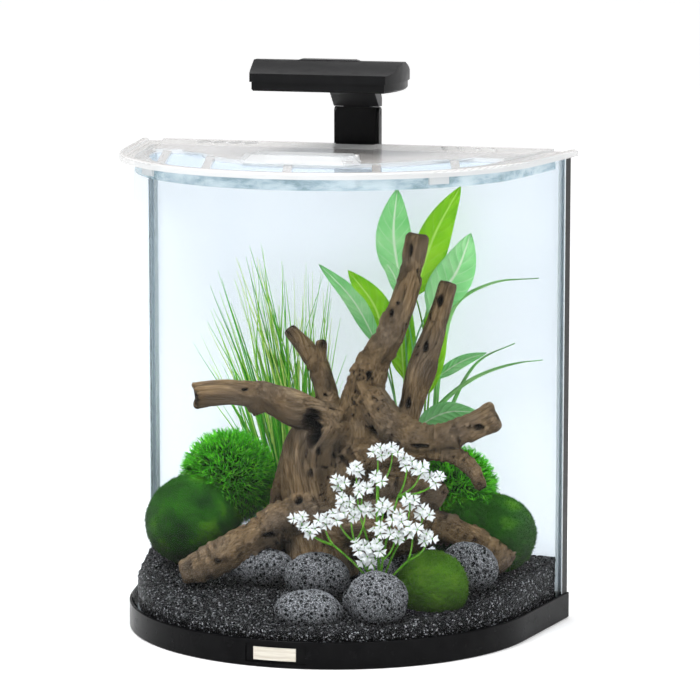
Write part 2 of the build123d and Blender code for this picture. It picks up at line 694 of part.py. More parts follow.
save(feeding_flap, "feeding_flap")

PIN_REACH = FLAP_EAR_X - EAR_WIDTH
with BuildPart() as flap_pins:
    for pin_side in (-1, 1):
        with BuildSketch(Plane.YZ.offset(pin_side * PIN_REACH)):
            with Locations((FLAP_HINGE_Y, FLAP_HINGE_Z)):
                Circle(FLAP_PIN_RADIUS)
        extrude(amount=pin_side * (LUG_X + LUG_WIDTH / 2 - PIN_REACH))
save(flap_pins, "flap_pins")

# --- Lamp column ----------------------------------------------------------------------------

HOOK_BACK = BACK_Y - GLASS - PAD_THICK
HOOK_FRONT = HOOK_BACK - HOOK_PLATE
HOOK_BOTTOM = GLASS_TOP - 16.0
BRIDGE_BOTTOM = GLASS_TOP + 0.4
EAR_INNER_X = KNUCKLE_HALF_WIDTH + 0.4
COVER_THICK = 2.0
COVER_BOTTOM = COLUMN_BOTTOM + 8.0
COVER_TOP = HINGE_Z - 14.0
COVER_HALF_WIDTH = 16.0
COVER_SCREW_X = COVER_HALF_WIDTH - 5.0
COVER_SCREW_HEIGHTS = (COVER_BOTTOM + 6.0, COVER_TOP - 6.0)
COVER_SCREW_RADIUS = 1.0
COVER_SCREW_HEAD = 1.8
COVER_SCREW_HEAD_HEIGHT = 1.2
CROSS_DEPTH = 0.6
CHANNEL_HALF_WIDTH = 6.0
CHANNEL_DEPTH = 6.0
FACE_THICK = 1.0
FACE_HALF_WIDTH = 19.0
FACE_BOTTOM = LID_PANEL_TOP + 1.2
FACE_TOP = HINGE_Z + 5.2

with BuildPart() as lamp_column:
    with BuildSketch(Plane.YZ):
        with Locations((HINGE_Y, (COLUMN_BOTTOM + HINGE_Z) / 2)):
            Rectangle(COLUMN_DEPTH, HINGE_Z - COLUMN_BOTTOM)
        with Locations((HINGE_Y, HINGE_Z)):
            Circle(BARREL_RADIUS)
    extrude(amount=COLUMN_HALF_WIDTH, both=True)
    fillet(lamp_column.edges().filter_by(Axis.Z), radius=1.2)
    with BuildSketch(Plane.YZ):
        with BuildLine():
            Polyline(
                (COLUMN_FRONT + 0.5, BRIDGE_BOTTOM),
                (HOOK_BACK, BRIDGE_BOTTOM),
                (HOOK_BACK, HOOK_BOTTOM),
                (HOOK_FRONT, HOOK_BOTTOM),
                (HOOK_FRONT, BRIDGE_BOTTOM + HOOK_PLATE),
                (COLUMN_FRONT + 0.5, BRIDGE_BOTTOM + HOOK_PLATE),
                close=True,
            )
        make_face()
    extrude(amount=HOOK_HALF_WIDTH, both=True)
    with Locations((0, HINGE_Y, HINGE_Z)):
        Box(2 * EAR_INNER_X, 20, 16, mode=Mode.SUBTRACT)
        Cylinder(PIN_RADIUS, 60, rotation=(0, 90, 0), mode=Mode.SUBTRACT)
    with Locations((0, COLUMN_BACK, (COVER_BOTTOM + COVER_TOP) / 2)):
        Box(2 * COVER_HALF_WIDTH, 2 * COVER_THICK, COVER_TOP - COVER_BOTTOM, mode=Mode.SUBTRACT)
    with Locations((0, COLUMN_BACK, (COLUMN_BOTTOM + 2 + COVER_TOP - 6) / 2)):
        Box(
            2 * CHANNEL_HALF_WIDTH,
            2 * CHANNEL_DEPTH,
            COVER_TOP - 6 - COLUMN_BOTTOM - 2,
            mode=Mode.SUBTRACT,
        )
    with Locations((0, COLUMN_BACK - 3.0, COLUMN_BOTTOM + 5)):
        Cylinder(2.6, 12, mode=Mode.SUBTRACT)
    for screw_z in COVER_SCREW_HEIGHTS:
        for screw_x in (-COVER_SCREW_X, COVER_SCREW_X):
            with Locations((screw_x, COLUMN_BACK - 4, screw_z)):
                Cylinder(COVER_SCREW_RADIUS, 10, rotation=(90, 0, 0), mode=Mode.SUBTRACT)
    with Locations((0, COLUMN_FRONT - FACE_THICK / 2, (FACE_BOTTOM + FACE_TOP) / 2)):
        Box(2 * FACE_HALF_WIDTH, FACE_THICK, FACE_TOP - FACE_BOTTOM)
save(lamp_column, "lamp_column")

cover_screw_places = [
    (x, COLUMN_BACK, z) for x in (-COVER_SCREW_X, COVER_SCREW_X) for z in COVER_SCREW_HEIGHTS
]
with BuildPart() as column_cover:
    with Locations((0, COLUMN_BACK - COVER_THICK / 2, (COVER_BOTTOM + COVER_TOP) / 2)):
        Box(2 * COVER_HALF_WIDTH - 0.3, COVER_THICK, COVER_TOP - COVER_BOTTOM - 0.3)
    fillet(column_cover.edges().filter_by(Axis.Y), radius=1.5)
    for place in cover_screw_places:
        head_plane = Plane(origin=place, x_dir=(1, 0, 0), z_dir=(0, -1, 0))
        with BuildSketch(head_plane):
            Circle(COVER_SCREW_HEAD + 0.1)
        extrude(amount=COVER_SCREW_HEAD_HEIGHT, mode=Mode.SUBTRACT)
        with BuildSketch(head_plane):
            Circle(COVER_SCREW_RADIUS)
        extrude(amount=COVER_THICK, mode=Mode.SUBTRACT)
save(column_cover, "column_cover")

with BuildPart() as cover_screws:
    for place in cover_screw_places:
        head_plane = Plane(origin=place, x_dir=(1, 0, 0), z_dir=(0, -1, 0))
        with BuildSketch(head_plane):
            Circle(COVER_SCREW_HEAD)
            RectangleRounded(2.6, 0.6, 0.2, mode=Mode.SUBTRACT)
            RectangleRounded(0.6, 2.6, 0.2, mode=Mode.SUBTRACT)
        extrude(amount=CROSS_DEPTH)
        with BuildSketch(head_plane.offset(CROSS_DEPTH)):
            Circle(COVER_SCREW_HEAD)
        extrude(amount=COVER_SCREW_HEAD_HEIGHT - CROSS_DEPTH)
        with BuildSketch(head_plane.offset(COVER_SCREW_HEAD_HEIGHT)):
            Circle(COVER_SCREW_RADIUS)
        extrude(amount=6)
save(cover_screws, "cover_screws")

with BuildPart() as clamp_pad:
    with Locations((0, BACK_Y - GLASS - PAD_THICK / 2, HOOK_BOTTOM + 7)):
        Box(2 * HOOK_HALF_WIDTH - 6, PAD_THICK, 12)
save(clamp_pad, "clamp_pad")

with BuildPart() as lamp_hinge_pin:
    with Locations((0, HINGE_Y, HINGE_Z)):
        Cylinder(PIN_RADIUS, 2 * COLUMN_HALF_WIDTH - 1, rotation=(0, 90, 0))
save(lamp_hinge_pin, "lamp_hinge_pin")

GLAND_RADIUS = 4.2
GLAND_NECK = 2.8
with BuildPart() as cord_gland:
    with BuildSketch(Plane.XY.offset(COLUMN_BOTTOM)):
        with Locations((0, HINGE_Y)):
            Circle(GLAND_RADIUS)
    extrude(amount=-3)
    with BuildSketch(Plane.XY.offset(COLUMN_BOTTOM - 3)):
        with Locations((0, HINGE_Y)):
            Circle(GLAND_RADIUS)
    with BuildSketch(Plane.XY.offset(COLUMN_BOTTOM - 12)):
        with Locations((0, HINGE_Y)):
            Circle(GLAND_NECK)
    loft()
    for ring in range(3):
        with BuildSketch(Plane.XY.offset(COLUMN_BOTTOM - 4.5 - 2.4 * ring)):
            with Locations((0, HINGE_Y)):
                Circle(5)
                Circle(2.6, mode=Mode.SUBTRACT)
        extrude(amount=-1.0, mode=Mode.SUBTRACT)
save(cord_gland, "cord_gland")

# --- Lamp neck and head ---------------------------------------------------------------------

HEAD_FRONT = FRONT_Y + 129.0
HEAD_BACK = FRONT_Y + 212.0
HEAD_HALF_WIDTH = 62.5
HEAD_BULGE = 69.0
RIDGE_FRONT = FRONT_Y + 163.0
RIDGE_BACK = FRONT_Y + 173.0
RIDGE_Y = (RIDGE_FRONT + RIDGE_BACK) / 2
REAR_TOP = 502.6
NECK_TOP = 502.0
NECK_BOTTOM = 491.4
NECK_FOOT = HINGE_Z + 5.8
NECK_SCREW_X = 12.0
NECK_SCREW_Z = HEAD_SPLIT + 1.5
NECK_SCREW_RADIUS = 1.1
NECK_SCREW_HEAD = 1.45
KNUCKLE_DEPTH = 9.2

with BuildPart() as lamp_neck:
    with BuildSketch(Plane.YZ) as neck_profile:
        with BuildLine():
            Polyline(
                (COLUMN_FRONT + 0.3, NECK_FOOT),
                (COLUMN_FRONT - 12, 479),
                (COLUMN_FRONT - 24, 488.5),
                (COLUMN_FRONT - 36, NECK_BOTTOM),
                (HEAD_BACK, NECK_BOTTOM),
                (HEAD_BACK, NECK_TOP),
                (COLUMN_FRONT - 20, 500.5),
                (COLUMN_FRONT + 2, 489),
                (COLUMN_BACK - 0.3, 474),
                (COLUMN_BACK - 0.3, NECK_FOOT),
                close=True,
            )
        make_face()
        fillet(
            neck_profile.vertices().filter_by_position(Axis.Z, 474.0, 500.6).filter_by_position(
                Axis.Y, HEAD_BACK + 2, COLUMN_BACK
            ),
            radius=5,
        )
    extrude(amount=COLUMN_HALF_WIDTH, both=True)
    with BuildSketch(Plane.YZ):
        with Locations((HINGE_Y, HINGE_Z)):
            Circle(BARREL_RADIUS)
        with Locations((HINGE_Y, (HINGE_Z + NECK_FOOT + 1) / 2)):
            Rectangle(KNUCKLE_DEPTH, NECK_FOOT + 1 - HINGE_Z)
    extrude(amount=KNUCKLE_HALF_WIDTH, both=True)
    with Locations((0, HINGE_Y, HINGE_Z)):
        Cylinder(PIN_RADIUS + RUNNING_CLEARANCE, 40, rotation=(0, 90, 0), mode=Mode.SUBTRACT)
    for screw_x in (-NECK_SCREW_X, NECK_SCREW_X):
        with BuildSketch(Plane.XZ.offset(-HEAD_BACK)):
            with Locations((screw_x, NECK_SCREW_Z)):
                Circle(NECK_SCREW_RADIUS)
        extrude(amount=-8, mode=Mode.SUBTRACT)
save(lamp_neck, "lamp_neck")


def head_plan(inset):
    """The lamp head's plan, with a straight front and rear and bulging ends."""
    half_width = HEAD_HALF_WIDTH - inset
    front = HEAD_FRONT + inset
    back = HEAD_BACK - inset
    bulge = HEAD_BULGE - inset
    middle = (front + back) / 2
    with BuildSketch(Plane.XY) as plan:
        with BuildLine():
            Line((-half_width, front), (half_width, front))
            ThreePointArc((half_width, front), (bulge, middle), (half_width, back))
            Line((half_width, back), (-half_width, back))
            ThreePointArc((-half_width, back), (-bulge, middle), (-half_width, front))
        make_face()
    return plan.sketch


def head_side(inset):
    """The upper shell's side profile, less its wall where inset is the wall's thickness."""
    with BuildSketch(Plane.YZ) as profile:
        with BuildLine():
            Line((HEAD_FRONT + inset, HEAD_SPLIT), (HEAD_FRONT + inset, HEAD_LIP_TOP - inset))
            ThreePointArc(
                (HEAD_FRONT + inset, HEAD_LIP_TOP - inset),
                (HEAD_FRONT + 18, HEAD_LIP_TOP + 3 - inset),
                (RIDGE_FRONT, HEAD_RIDGE - inset),
            )
            Polyline(
                (RIDGE_FRONT, HEAD_RIDGE - inset),
                (RIDGE_BACK, HEAD_RIDGE - inset),
                (HEAD_BACK - inset, REAR_TOP - inset),
                (HEAD_BACK - inset, HEAD_SPLIT),
                (HEAD_FRONT + inset, HEAD_SPLIT),
            )
        make_face()
    return profile.sketch


def head_dome(inset):
    """The solid that the head's plan and side profile have in common above the split."""
    outline = head_plan(inset)
    side = head_side(inset)
    with BuildPart() as dome:
        with BuildSketch(Plane.XY.offset(HEAD_SPLIT)):
            add(outline)
        extrude(amount=HEAD_RIDGE - HEAD_SPLIT)
        extrude(side, amount=HEAD_BULGE + 1, both=True, mode=Mode.INTERSECT)
    return dome.part


BUTTON_HALF_LENGTH = 28.5
BUTTON_WIDTH = 7.0
HEAD_SCREW_X = 54.0
HEAD_SCREW_INSET = 10.0
head_screw_places = [
    (x, y)
    for x in (-HEAD_SCREW_X, HEAD_SCREW_X)
    for y in (HEAD_FRONT + HEAD_SCREW_INSET, HEAD_BACK - HEAD_SCREW_INSET)
]
BOSS_RADIUS = 3.2
SCREW_RADIUS = 1.2
SCREW_HEAD_RADIUS = 2.3
SCREW_HEAD_HEIGHT = 1.2
SCREW_SUNK = 0.2
outer_dome = head_dome(0)
inner_dome = head_dome(SHELL_WALL)

with BuildPart() as boss_set:
    with BuildSketch(Plane.XY.offset(HEAD_SPLIT)):
        with Locations(head_screw_places):
            Circle(BOSS_RADIUS)
    extrude(amount=HEAD_RIDGE - HEAD_SPLIT)
    add(outer_dome, mode=Mode.INTERSECT)

with BuildPart() as lamp_upper_shell:
    add(outer_dome)
    ridge_edges = lamp_upper_shell.edges().filter_by(GeomType.LINE).filter_by(Axis.X).sort_by(Axis.Z)[-2:]
    fillet(ridge_edges, radius=1.5)
    add(inner_dome, mode=Mode.SUBTRACT)
    add(boss_set.part)
    with BuildSketch(Plane.XY.offset(HEAD_SPLIT)):
        with Locations(head_screw_places):
            Circle(SCREW_RADIUS)
    extrude(amount=4.5, mode=Mode.SUBTRACT)
    with BuildSketch(Plane.XY.offset(HEAD_RIDGE - SHELL_WALL - 1)):
        with Locations((0, RIDGE_Y)):
            Rectangle(2 * (BUTTON_HALF_LENGTH + BUTTON_GAP), BUTTON_WIDTH + 2 * BUTTON_GAP)
    extrude(amount=SHELL_WALL + 2, mode=Mode.SUBTRACT)
    for screw_x in (-NECK_SCREW_X, NECK_SCREW_X):
        with BuildSketch(Plane.XZ.offset(-HEAD_BACK)):
            with Locations((screw_x, NECK_SCREW_Z)):
                Circle(NECK_SCREW_RADIUS)
        extrude(amount=SHELL_WALL + 1, mode=Mode.SUBTRACT)
save(lamp_upper_shell, "lamp_upper_shell")

DIFFUSER_LENGTH = 104.0
DIFFUSER_WIDTH = 52.0
HEAD_MIDDLE = (HEAD_FRONT + HEAD_BACK) / 2
LOWER_INSET = 1.5
with BuildPart() as lamp_lower_shell:
    with BuildSketch(Plane.XY.offset(HEAD_BOTTOM)):
        add(head_plan(LOWER_INSET))
    extrude(amount=HEAD_SPLIT - HEAD_BOTTOM)
    chamfer(lamp_lower_shell.faces().sort_by(Axis.Z)[0].edges(), length=1.5)
    with BuildSketch(Plane.XY.offset(HEAD_BOTTOM + SHELL_WALL)):
        add(head_plan(LOWER_INSET + SHELL_WALL))
    extrude(amount=HEAD_SPLIT - HEAD_BOTTOM, mode=Mode.SUBTRACT)
    with BuildSketch(Plane.XY.offset(HEAD_BOTTOM)):
        with Locations((0, HEAD_MIDDLE)):
            RectangleRounded(DIFFUSER_LENGTH, DIFFUSER_WIDTH, 3)
    extrude(amount=SHELL_WALL, mode=Mode.SUBTRACT)
    with BuildSketch(Plane.XY.offset(HEAD_BOTTOM + SHELL_WALL)):
        with Locations(head_screw_places):
            Circle(BOSS_RADIUS)
    extrude(amount=HEAD_SPLIT - HEAD_BOTTOM - SHELL_WALL)
    with BuildSketch(Plane.XY.offset(HEAD_BOTTOM)):
        with Locations(head_screw_places):
            Circle(SCREW_RADIUS)
    extrude(amount=HEAD_SPLIT - HEAD_BOTTOM, mode=Mode.SUBTRACT)
    with BuildSketch(Plane.XY.offset(HEAD_BOTTOM)):
        with Locations(head_screw_places):
            Circle(SCREW_HEAD_RADIUS + 0.1)
    extrude(amount=SCREW_HEAD_HEIGHT + SCREW_SUNK, mode=Mode.SUBTRACT)
save(lamp_lower_shell, "lamp_lower_shell")

with BuildPart() as lamp_diffuser:
    with BuildSketch(Plane.XY.offset(HEAD_BOTTOM + 0.4)):
        with Locations((0, HEAD_MIDDLE)):
            RectangleRounded(DIFFUSER_LENGTH - 0.4, DIFFUSER_WIDTH - 0.4, 2.8)
    extrude(amount=SHELL_WALL - 0.4)
    with BuildSketch(Plane.XY.offset(HEAD_BOTTOM + SHELL_WALL)):
        with Locations((0, HEAD_MIDDLE)):
            Rectangle(DIFFUSER_LENGTH - 6, DIFFUSER_WIDTH + 5)
    extrude(amount=1)
save(lamp_diffuser, "lamp_diffuser")

BOARD_LENGTH = 92.0
BOARD_WIDTH = 46.0
BOARD_Z = HEAD_BOTTOM + 4.6
BOARD_THICK = 1.6
CHIP_SIZE = 4.0
CHIP_HEIGHT = 0.9
CHIP_COLUMNS = 8
CHIP_ROWS = 3
with BuildPart() as led_board:
    with BuildSketch(Plane.XY.offset(BOARD_Z)):
        with Locations((0, HEAD_MIDDLE)):
            RectangleRounded(BOARD_LENGTH, BOARD_WIDTH, 2)
    extrude(amount=BOARD_THICK)
save(led_board, "led_board")

with BuildPart() as led_chips:
    with BuildSketch(Plane.XY.offset(BOARD_Z)):
        with Locations((0, HEAD_MIDDLE)):
            with GridLocations(11, 12, CHIP_COLUMNS, CHIP_ROWS):
                RectangleRounded(CHIP_SIZE, CHIP_SIZE, 0.4)
    extrude(amount=-CHIP_HEIGHT)
save(led_chips, "led_chips")

SINK_Z = BOARD_Z + BOARD_THICK
SINK_TOP = SINK_Z + 6.0
SINK_PLATE = 1.8
SINK_FINS = 9
SINK_GAP = 5.0
SINK_FIN_THICK = 1.4
with BuildPart() as heat_sink:
    with BuildSketch(Plane.XY.offset(SINK_Z)):
        with Locations((0, HEAD_MIDDLE)):
            Rectangle(BOARD_LENGTH, BOARD_WIDTH)
    extrude(amount=SINK_PLATE)
    with BuildSketch(Plane.XY.offset(SINK_Z + SINK_PLATE)):
        with Locations((0, HEAD_MIDDLE)):
            with GridLocations(1, SINK_GAP, 1, SINK_FINS):
                Rectangle(BOARD_LENGTH, SINK_FIN_THICK)
    extrude(amount=SINK_TOP - SINK_Z - SINK_PLATE)
save(heat_sink, "heat_sink")

BUTTON_FLANGE_TOP = HEAD_RIDGE - SHELL_WALL - BUTTON_GAP
BUTTON_BOTTOM = BUTTON_FLANGE_TOP - 2.0
SWITCH_TOP = BUTTON_BOTTOM - 1.4
PLUNGER_HEIGHT = 1.5
PLUNGER_RADIUS = 2.2
with BuildPart() as switch_module:
    with BuildSketch(Plane.XY.offset(SINK_TOP)):
        with Locations((0, RIDGE_Y)):
            RectangleRounded(16, 8, 1)
    extrude(amount=SWITCH_TOP - SINK_TOP - PLUNGER_HEIGHT)
    with BuildSketch(Plane.XY.offset(SWITCH_TOP - PLUNGER_HEIGHT)):
        with Locations((0, RIDGE_Y)):
            Circle(PLUNGER_RADIUS)
    extrude(amount=PLUNGER_HEIGHT)
save(switch_module, "switch_module")

with BuildPart() as shell_screws:
    with BuildSketch(Plane.XY.offset(HEAD_BOTTOM + SCREW_SUNK)):
        with Locations(head_screw_places):
            Circle(SCREW_HEAD_RADIUS)
            RectangleRounded(3.2, 0.7, 0.2, mode=Mode.SUBTRACT)
            RectangleRounded(0.7, 3.2, 0.2, mode=Mode.SUBTRACT)
    extrude(amount=CROSS_DEPTH)
    with BuildSketch(Plane.XY.offset(HEAD_BOTTOM + SCREW_SUNK + CROSS_DEPTH)):
        with Locations(head_screw_places):
            Circle(SCREW_HEAD_RADIUS)
    extrude(amount=SCREW_HEAD_HEIGHT - CROSS_DEPTH)
    with BuildSketch(Plane.XY.offset(HEAD_BOTTOM + SCREW_SUNK + SCREW_HEAD_HEIGHT)):
        with Locations(head_screw_places):
            Circle(SCREW_RADIUS)
    extrude(amount=HEAD_SPLIT + 4 - HEAD_BOTTOM - SCREW_SUNK - SCREW_HEAD_HEIGHT)
save(shell_screws, "shell_screws")

with BuildPart() as neck_screws:
    for screw_x in (-NECK_SCREW_X, NECK_SCREW_X):
        with BuildSketch(Plane.XZ.offset(-(HEAD_BACK - SHELL_WALL - 1))):
            with Locations((screw_x, NECK_SCREW_Z)):
                Circle(NECK_SCREW_RADIUS)
        extrude(amount=-10)
        with BuildSketch(Plane.XZ.offset(-(HEAD_BACK - SHELL_WALL))):
            with Locations((screw_x, NECK_SCREW_Z)):
                Circle(NECK_SCREW_HEAD)
        extrude(amount=1.6)
save(neck_screws, "neck_screws")

with BuildPart() as switch_button:
    with BuildSketch(Plane.XY.offset(BUTTON_BOTTOM)):
        with Locations((0, RIDGE_Y)):
            Rectangle(2 * BUTTON_HALF_LENGTH + 3, BUTTON_WIDTH)
    extrude(amount=BUTTON_FLANGE_TOP - BUTTON_BOTTOM)
    with BuildSketch(Plane.XY.offset(BUTTON_FLANGE_TOP)):
        with Locations((0, RIDGE_Y)):
            Rectangle(2 * BUTTON_HALF_LENGTH, BUTTON_WIDTH)
    extrude(amount=HEAD_RIDGE + BUTTON_PROUD - BUTTON_FLANGE_TOP)
    chamfer(switch_button.faces().sort_by(Axis.Z)[-1].edges().filter_by(Axis.Y), length=1.4, length2=4)
    chamfer(switch_button.faces().sort_by(Axis.Z)[-1].edges().filter_by(Axis.X), length=0.5)
save(switch_button, "switch_button")
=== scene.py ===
"""Looks of the half-moon glass aquarium: its materials, and its wood, stones, moss and plants in detail."""

import math

import bmesh
import bpy
import numpy as np
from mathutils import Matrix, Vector, noise


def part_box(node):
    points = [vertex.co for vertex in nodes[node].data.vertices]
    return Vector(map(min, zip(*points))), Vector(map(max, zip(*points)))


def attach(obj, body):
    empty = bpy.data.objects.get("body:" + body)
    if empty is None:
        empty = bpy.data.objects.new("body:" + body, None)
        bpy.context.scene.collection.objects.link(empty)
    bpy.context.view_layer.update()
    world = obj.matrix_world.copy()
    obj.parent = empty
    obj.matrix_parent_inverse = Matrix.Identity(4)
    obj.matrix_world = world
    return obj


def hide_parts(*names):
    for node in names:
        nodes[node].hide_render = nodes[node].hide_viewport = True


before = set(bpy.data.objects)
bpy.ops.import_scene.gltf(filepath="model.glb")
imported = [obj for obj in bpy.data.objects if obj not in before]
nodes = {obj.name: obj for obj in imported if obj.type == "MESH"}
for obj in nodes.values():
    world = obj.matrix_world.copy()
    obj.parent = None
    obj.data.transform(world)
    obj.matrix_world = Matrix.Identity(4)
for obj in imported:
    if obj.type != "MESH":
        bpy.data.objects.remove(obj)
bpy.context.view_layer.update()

MM = 0.001
scene = bpy.context.scene
scene.view_settings.view_transform = "Standard"
# A ray may cross the glass, the film, the lid and many of their edges before it meets the backdrop
scene.cycles.transparent_max_bounces = 32

# --- Camera, light and floor ----------------------------------------------------------------

CAMERA_AZIMUTH = math.radians(15.925)
CAMERA_HEIGHT_ANGLE = math.radians(8.792)
CAMERA_DISTANCE = 3.223
CAMERA_TARGET = Vector((0.03066, -0.00175, 0.2612))
CAMERA_LENS = 186.4


def look_from(place, target, obj):
    """Put an object at place, turned so that its -Z axis points to target."""
    obj.location = place
    obj.rotation_euler = (Vector(target) - Vector(place)).to_track_quat("-Z", "Y").to_euler()


camera = bpy.data.objects.new("camera", bpy.data.cameras.new("camera"))
scene.collection.objects.link(camera)
camera.data.lens = CAMERA_LENS
camera.data.clip_end = 200.0
toward_camera = Vector((
    math.sin(CAMERA_AZIMUTH) * math.cos(CAMERA_HEIGHT_ANGLE),
    -math.cos(CAMERA_AZIMUTH) * math.cos(CAMERA_HEIGHT_ANGLE),
    math.sin(CAMERA_HEIGHT_ANGLE),
))
look_from(CAMERA_TARGET + CAMERA_DISTANCE * toward_camera, CAMERA_TARGET, camera)
scene.camera = camera


def area_light(name, place, target, size, power):
    """A soft rectangular lamp."""
    data = bpy.data.lights.new(name, "AREA")
    data.shape = "RECTANGLE"
    data.size, data.size_y = size
    data.energy = power
    lamp = bpy.data.objects.new(name, data)
    scene.collection.objects.link(lamp)
    look_from(place, target, lamp)


# The white studio wall falls off to a dim grey on the side in front of the tank and to its left
DARK_SIDE = (-0.85, -0.5, 0.15)
WALL_GREYS = ((0.0, 1.0), (0.60, 0.12))
WALL_STRENGTH = 0.55
# What the camera sees behind the tank is plain white
BACKDROP_STRENGTH = 1.03

area_light("key", (-0.6, -0.9, 2.1), (0, 0, 0.25), (0.9, 0.9), 46)
area_light("fill", (1.9, -1.2, 1.2), (0, 0, 0.25), (1.2, 1.2), 10)
area_light("top", (0.1, 0.25, 2.2), (0, 0, 0.3), (1.2, 1.2), 30)

world = bpy.data.worlds.new("studio")
scene.world = world
world.use_nodes = True
sky = world.node_tree
direction = sky.nodes.new("ShaderNodeTexCoord").outputs["Generated"]
toward_dark = sky.nodes.new("ShaderNodeVectorMath")
toward_dark.operation = "DOT_PRODUCT"
toward_dark.inputs[1].default_value = DARK_SIDE
sky.links.new(direction, toward_dark.inputs[0])
wall = sky.nodes.new("ShaderNodeValToRGB")
for element, (place, grey) in zip(wall.color_ramp.elements, WALL_GREYS):
    element.position = place
    element.color = (grey, grey, grey, 1)
sky.links.new(toward_dark.outputs["Value"], wall.inputs["Fac"])
sky.links.new(wall.outputs["Color"], sky.nodes["Background"].inputs["Color"])
sky.nodes["Background"].inputs["Strength"].default_value = WALL_STRENGTH
backdrop = sky.nodes.new("ShaderNodeBackground")
backdrop.inputs["Color"].default_value = (1, 1, 1, 1)
backdrop.inputs["Strength"].default_value = BACKDROP_STRENGTH
seen = sky.nodes.new("ShaderNodeMixShader")
sky.links.new(sky.nodes.new("ShaderNodeLightPath").outputs["Is Camera Ray"], seen.inputs[0])
sky.links.new(sky.nodes["Background"].outputs[0], seen.inputs[1])
sky.links.new(backdrop.outputs[0], seen.inputs[2])
sky.links.new(seen.outputs[0], sky.nodes["World Output"].inputs["Surface"])

# --- Materials ------------------------------------------------------------------------------


class Look:
    """A node material grown around one Principled shader."""

    def __init__(self, name, colour, roughness, **sockets):
        self.material = bpy.data.materials.new(name)
        self.material.use_nodes = True
        self.tree = self.material.node_tree
        self.shader = self.tree.nodes["Principled BSDF"]
        self.shader.inputs["Base Color"].default_value = (*colour, 1)
        self.shader.inputs["Roughness"].default_value = roughness
        for socket, value in sockets.items():
            self.shader.inputs[socket.replace("_", " ")].default_value = value
        self.coordinates = self.node("ShaderNodeTexCoord").outputs["Object"]

    def node(self, kind, **settings):
        made = self.tree.nodes.new(kind)
        for key, value in settings.items():
            setattr(made, key, value)
        return made

    def join(self, source, target):
        self.tree.links.new(source, target)

    def set(self, socket, source):
        self.join(source, self.shader.inputs[socket])

    def feed(self, target, value):
        """Put a colour, a number or a socket into an input."""
        if isinstance(value, tuple):
            target.default_value = (*value, 1)
        elif isinstance(value, (int, float)):
            target.default_value = value
        else:
            self.join(value, target)

    def stretched(self, factors):
        """The coordinates scaled per axis, so a pattern on them runs along the least scaled one."""
        made = self.node("ShaderNodeMapping")
        made.inputs["Scale"].default_value = factors
        self.join(self.coordinates, made.inputs["Vector"])
        return made.outputs["Vector"]

    def noise(self, per_metre, detail=4.0, roughness=0.55, vector=None):
        made = self.node("ShaderNodeTexNoise")
        made.inputs["Scale"].default_value = per_metre
        made.inputs["Detail"].default_value = detail
        made.inputs["Roughness"].default_value = roughness
        self.join(vector or self.coordinates, made.inputs["Vector"])
        return made.outputs["Fac"]

    def cells(self, per_metre, output="Distance"):
        made = self.node("ShaderNodeTexVoronoi")
        made.inputs["Scale"].default_value = per_metre
        self.join(self.coordinates, made.inputs["Vector"])
        return made.outputs[output]

    def attribute(self, name, output="Fac"):
        made = self.node("ShaderNodeAttribute", attribute_name=name)
        return made.outputs[output]

    def ramp(self, source, *stops):
        """Colours or greys at places along source."""
        made = self.node("ShaderNodeValToRGB")
        ramp = made.color_ramp
        while len(ramp.elements) < len(stops):
            ramp.elements.new(0.5)
        for element, (place, colour) in zip(ramp.elements, stops):
            element.position = place
            element.color = (*colour, 1) if isinstance(colour, tuple) else (colour, colour, colour, 1)
        self.join(source, made.inputs["Fac"])
        return made.outputs["Color"]

    def paint(self, source, *stops):
        """Make the base colour a ramp along source."""
        self.set("Base Color", self.ramp(source, *stops))

    def cover(self, factor, colour, kind="MIX"):
        """Lay a colour or a socket over the base colour so far."""
        made = self.node("ShaderNodeMix", data_type="RGBA", blend_type=kind)
        so_far = self.shader.inputs["Base Color"].links[0].from_socket
        for place, value in ((0, factor), (6, so_far), (7, colour)):
            self.feed(made.inputs[place], value)
        self.set("Base Color", made.outputs[2])

    def shade(self, source, *stops):
        """Multiply the base colour so far by a ramp along source."""
        self.cover(1.0, self.ramp(source, *stops), "MULTIPLY")

    def maths(self, operation, *values):
        made = self.node("ShaderNodeMath", operation=operation)
        for target, value in zip(made.inputs, values):
            self.feed(target, value)
        return made.outputs[0]

    def bump(self, height, distance):
        """Relief from height, at most distance metres of it, on top of any relief set before."""
        made = self.node("ShaderNodeBump")
        made.inputs["Distance"].default_value = distance
        self.join(height, made.inputs["Height"])
        normal = self.shader.inputs["Normal"]
        if normal.is_linked:
            self.join(normal.links[0].from_socket, made.inputs["Normal"])
        self.join(made.outputs["Normal"], normal)

    def see_through(self, tint, least, most, power):
        """Let light straight through, with a mirror that grows from least to most towards grazing."""
        layer = self.node("ShaderNodeLayerWeight")
        layer.inputs["Blend"].default_value = 0.5
        grazing = self.maths("POWER", layer.outputs["Facing"], power)
        share = self.maths("ADD", self.maths("MULTIPLY", grazing, most - least), least)
        self.mixed_with_clear(share, tint)

    def mixed_with_clear(self, share, tint):
        """Show this shader by share and what is behind it, tinted, by the rest."""
        clear = self.node("ShaderNodeBsdfTransparent")
        clear.inputs["Color"].default_value = (*tint, 1)
        mix = self.node("ShaderNodeMixShader")
        self.feed(mix.inputs[0], share)
        output = self.tree.nodes["Material Output"]
        self.join(clear.outputs[0], mix.inputs[1])
        self.join(self.shader.outputs[0], mix.inputs[2])
        self.join(mix.outputs[0], output.inputs["Surface"])


def moulded(name, dark, light, roughness, grain=1400.0, depth=0.00002, **sockets):
    """Moulded plastic: faint mottling, fine grain and a roughness that wanders."""
    look = Look(name, dark, roughness, **sockets)
    look.paint(look.noise(60.0, 5.0), (0.35, dark), (0.7, light))
    wander = look.noise(90.0, 6.0)
    look.set("Roughness", look.ramp(wander, (0.3, roughness - 0.05), (0.75, roughness + 0.07)))
    look.bump(look.noise(grain, 3.0), depth)
    return look


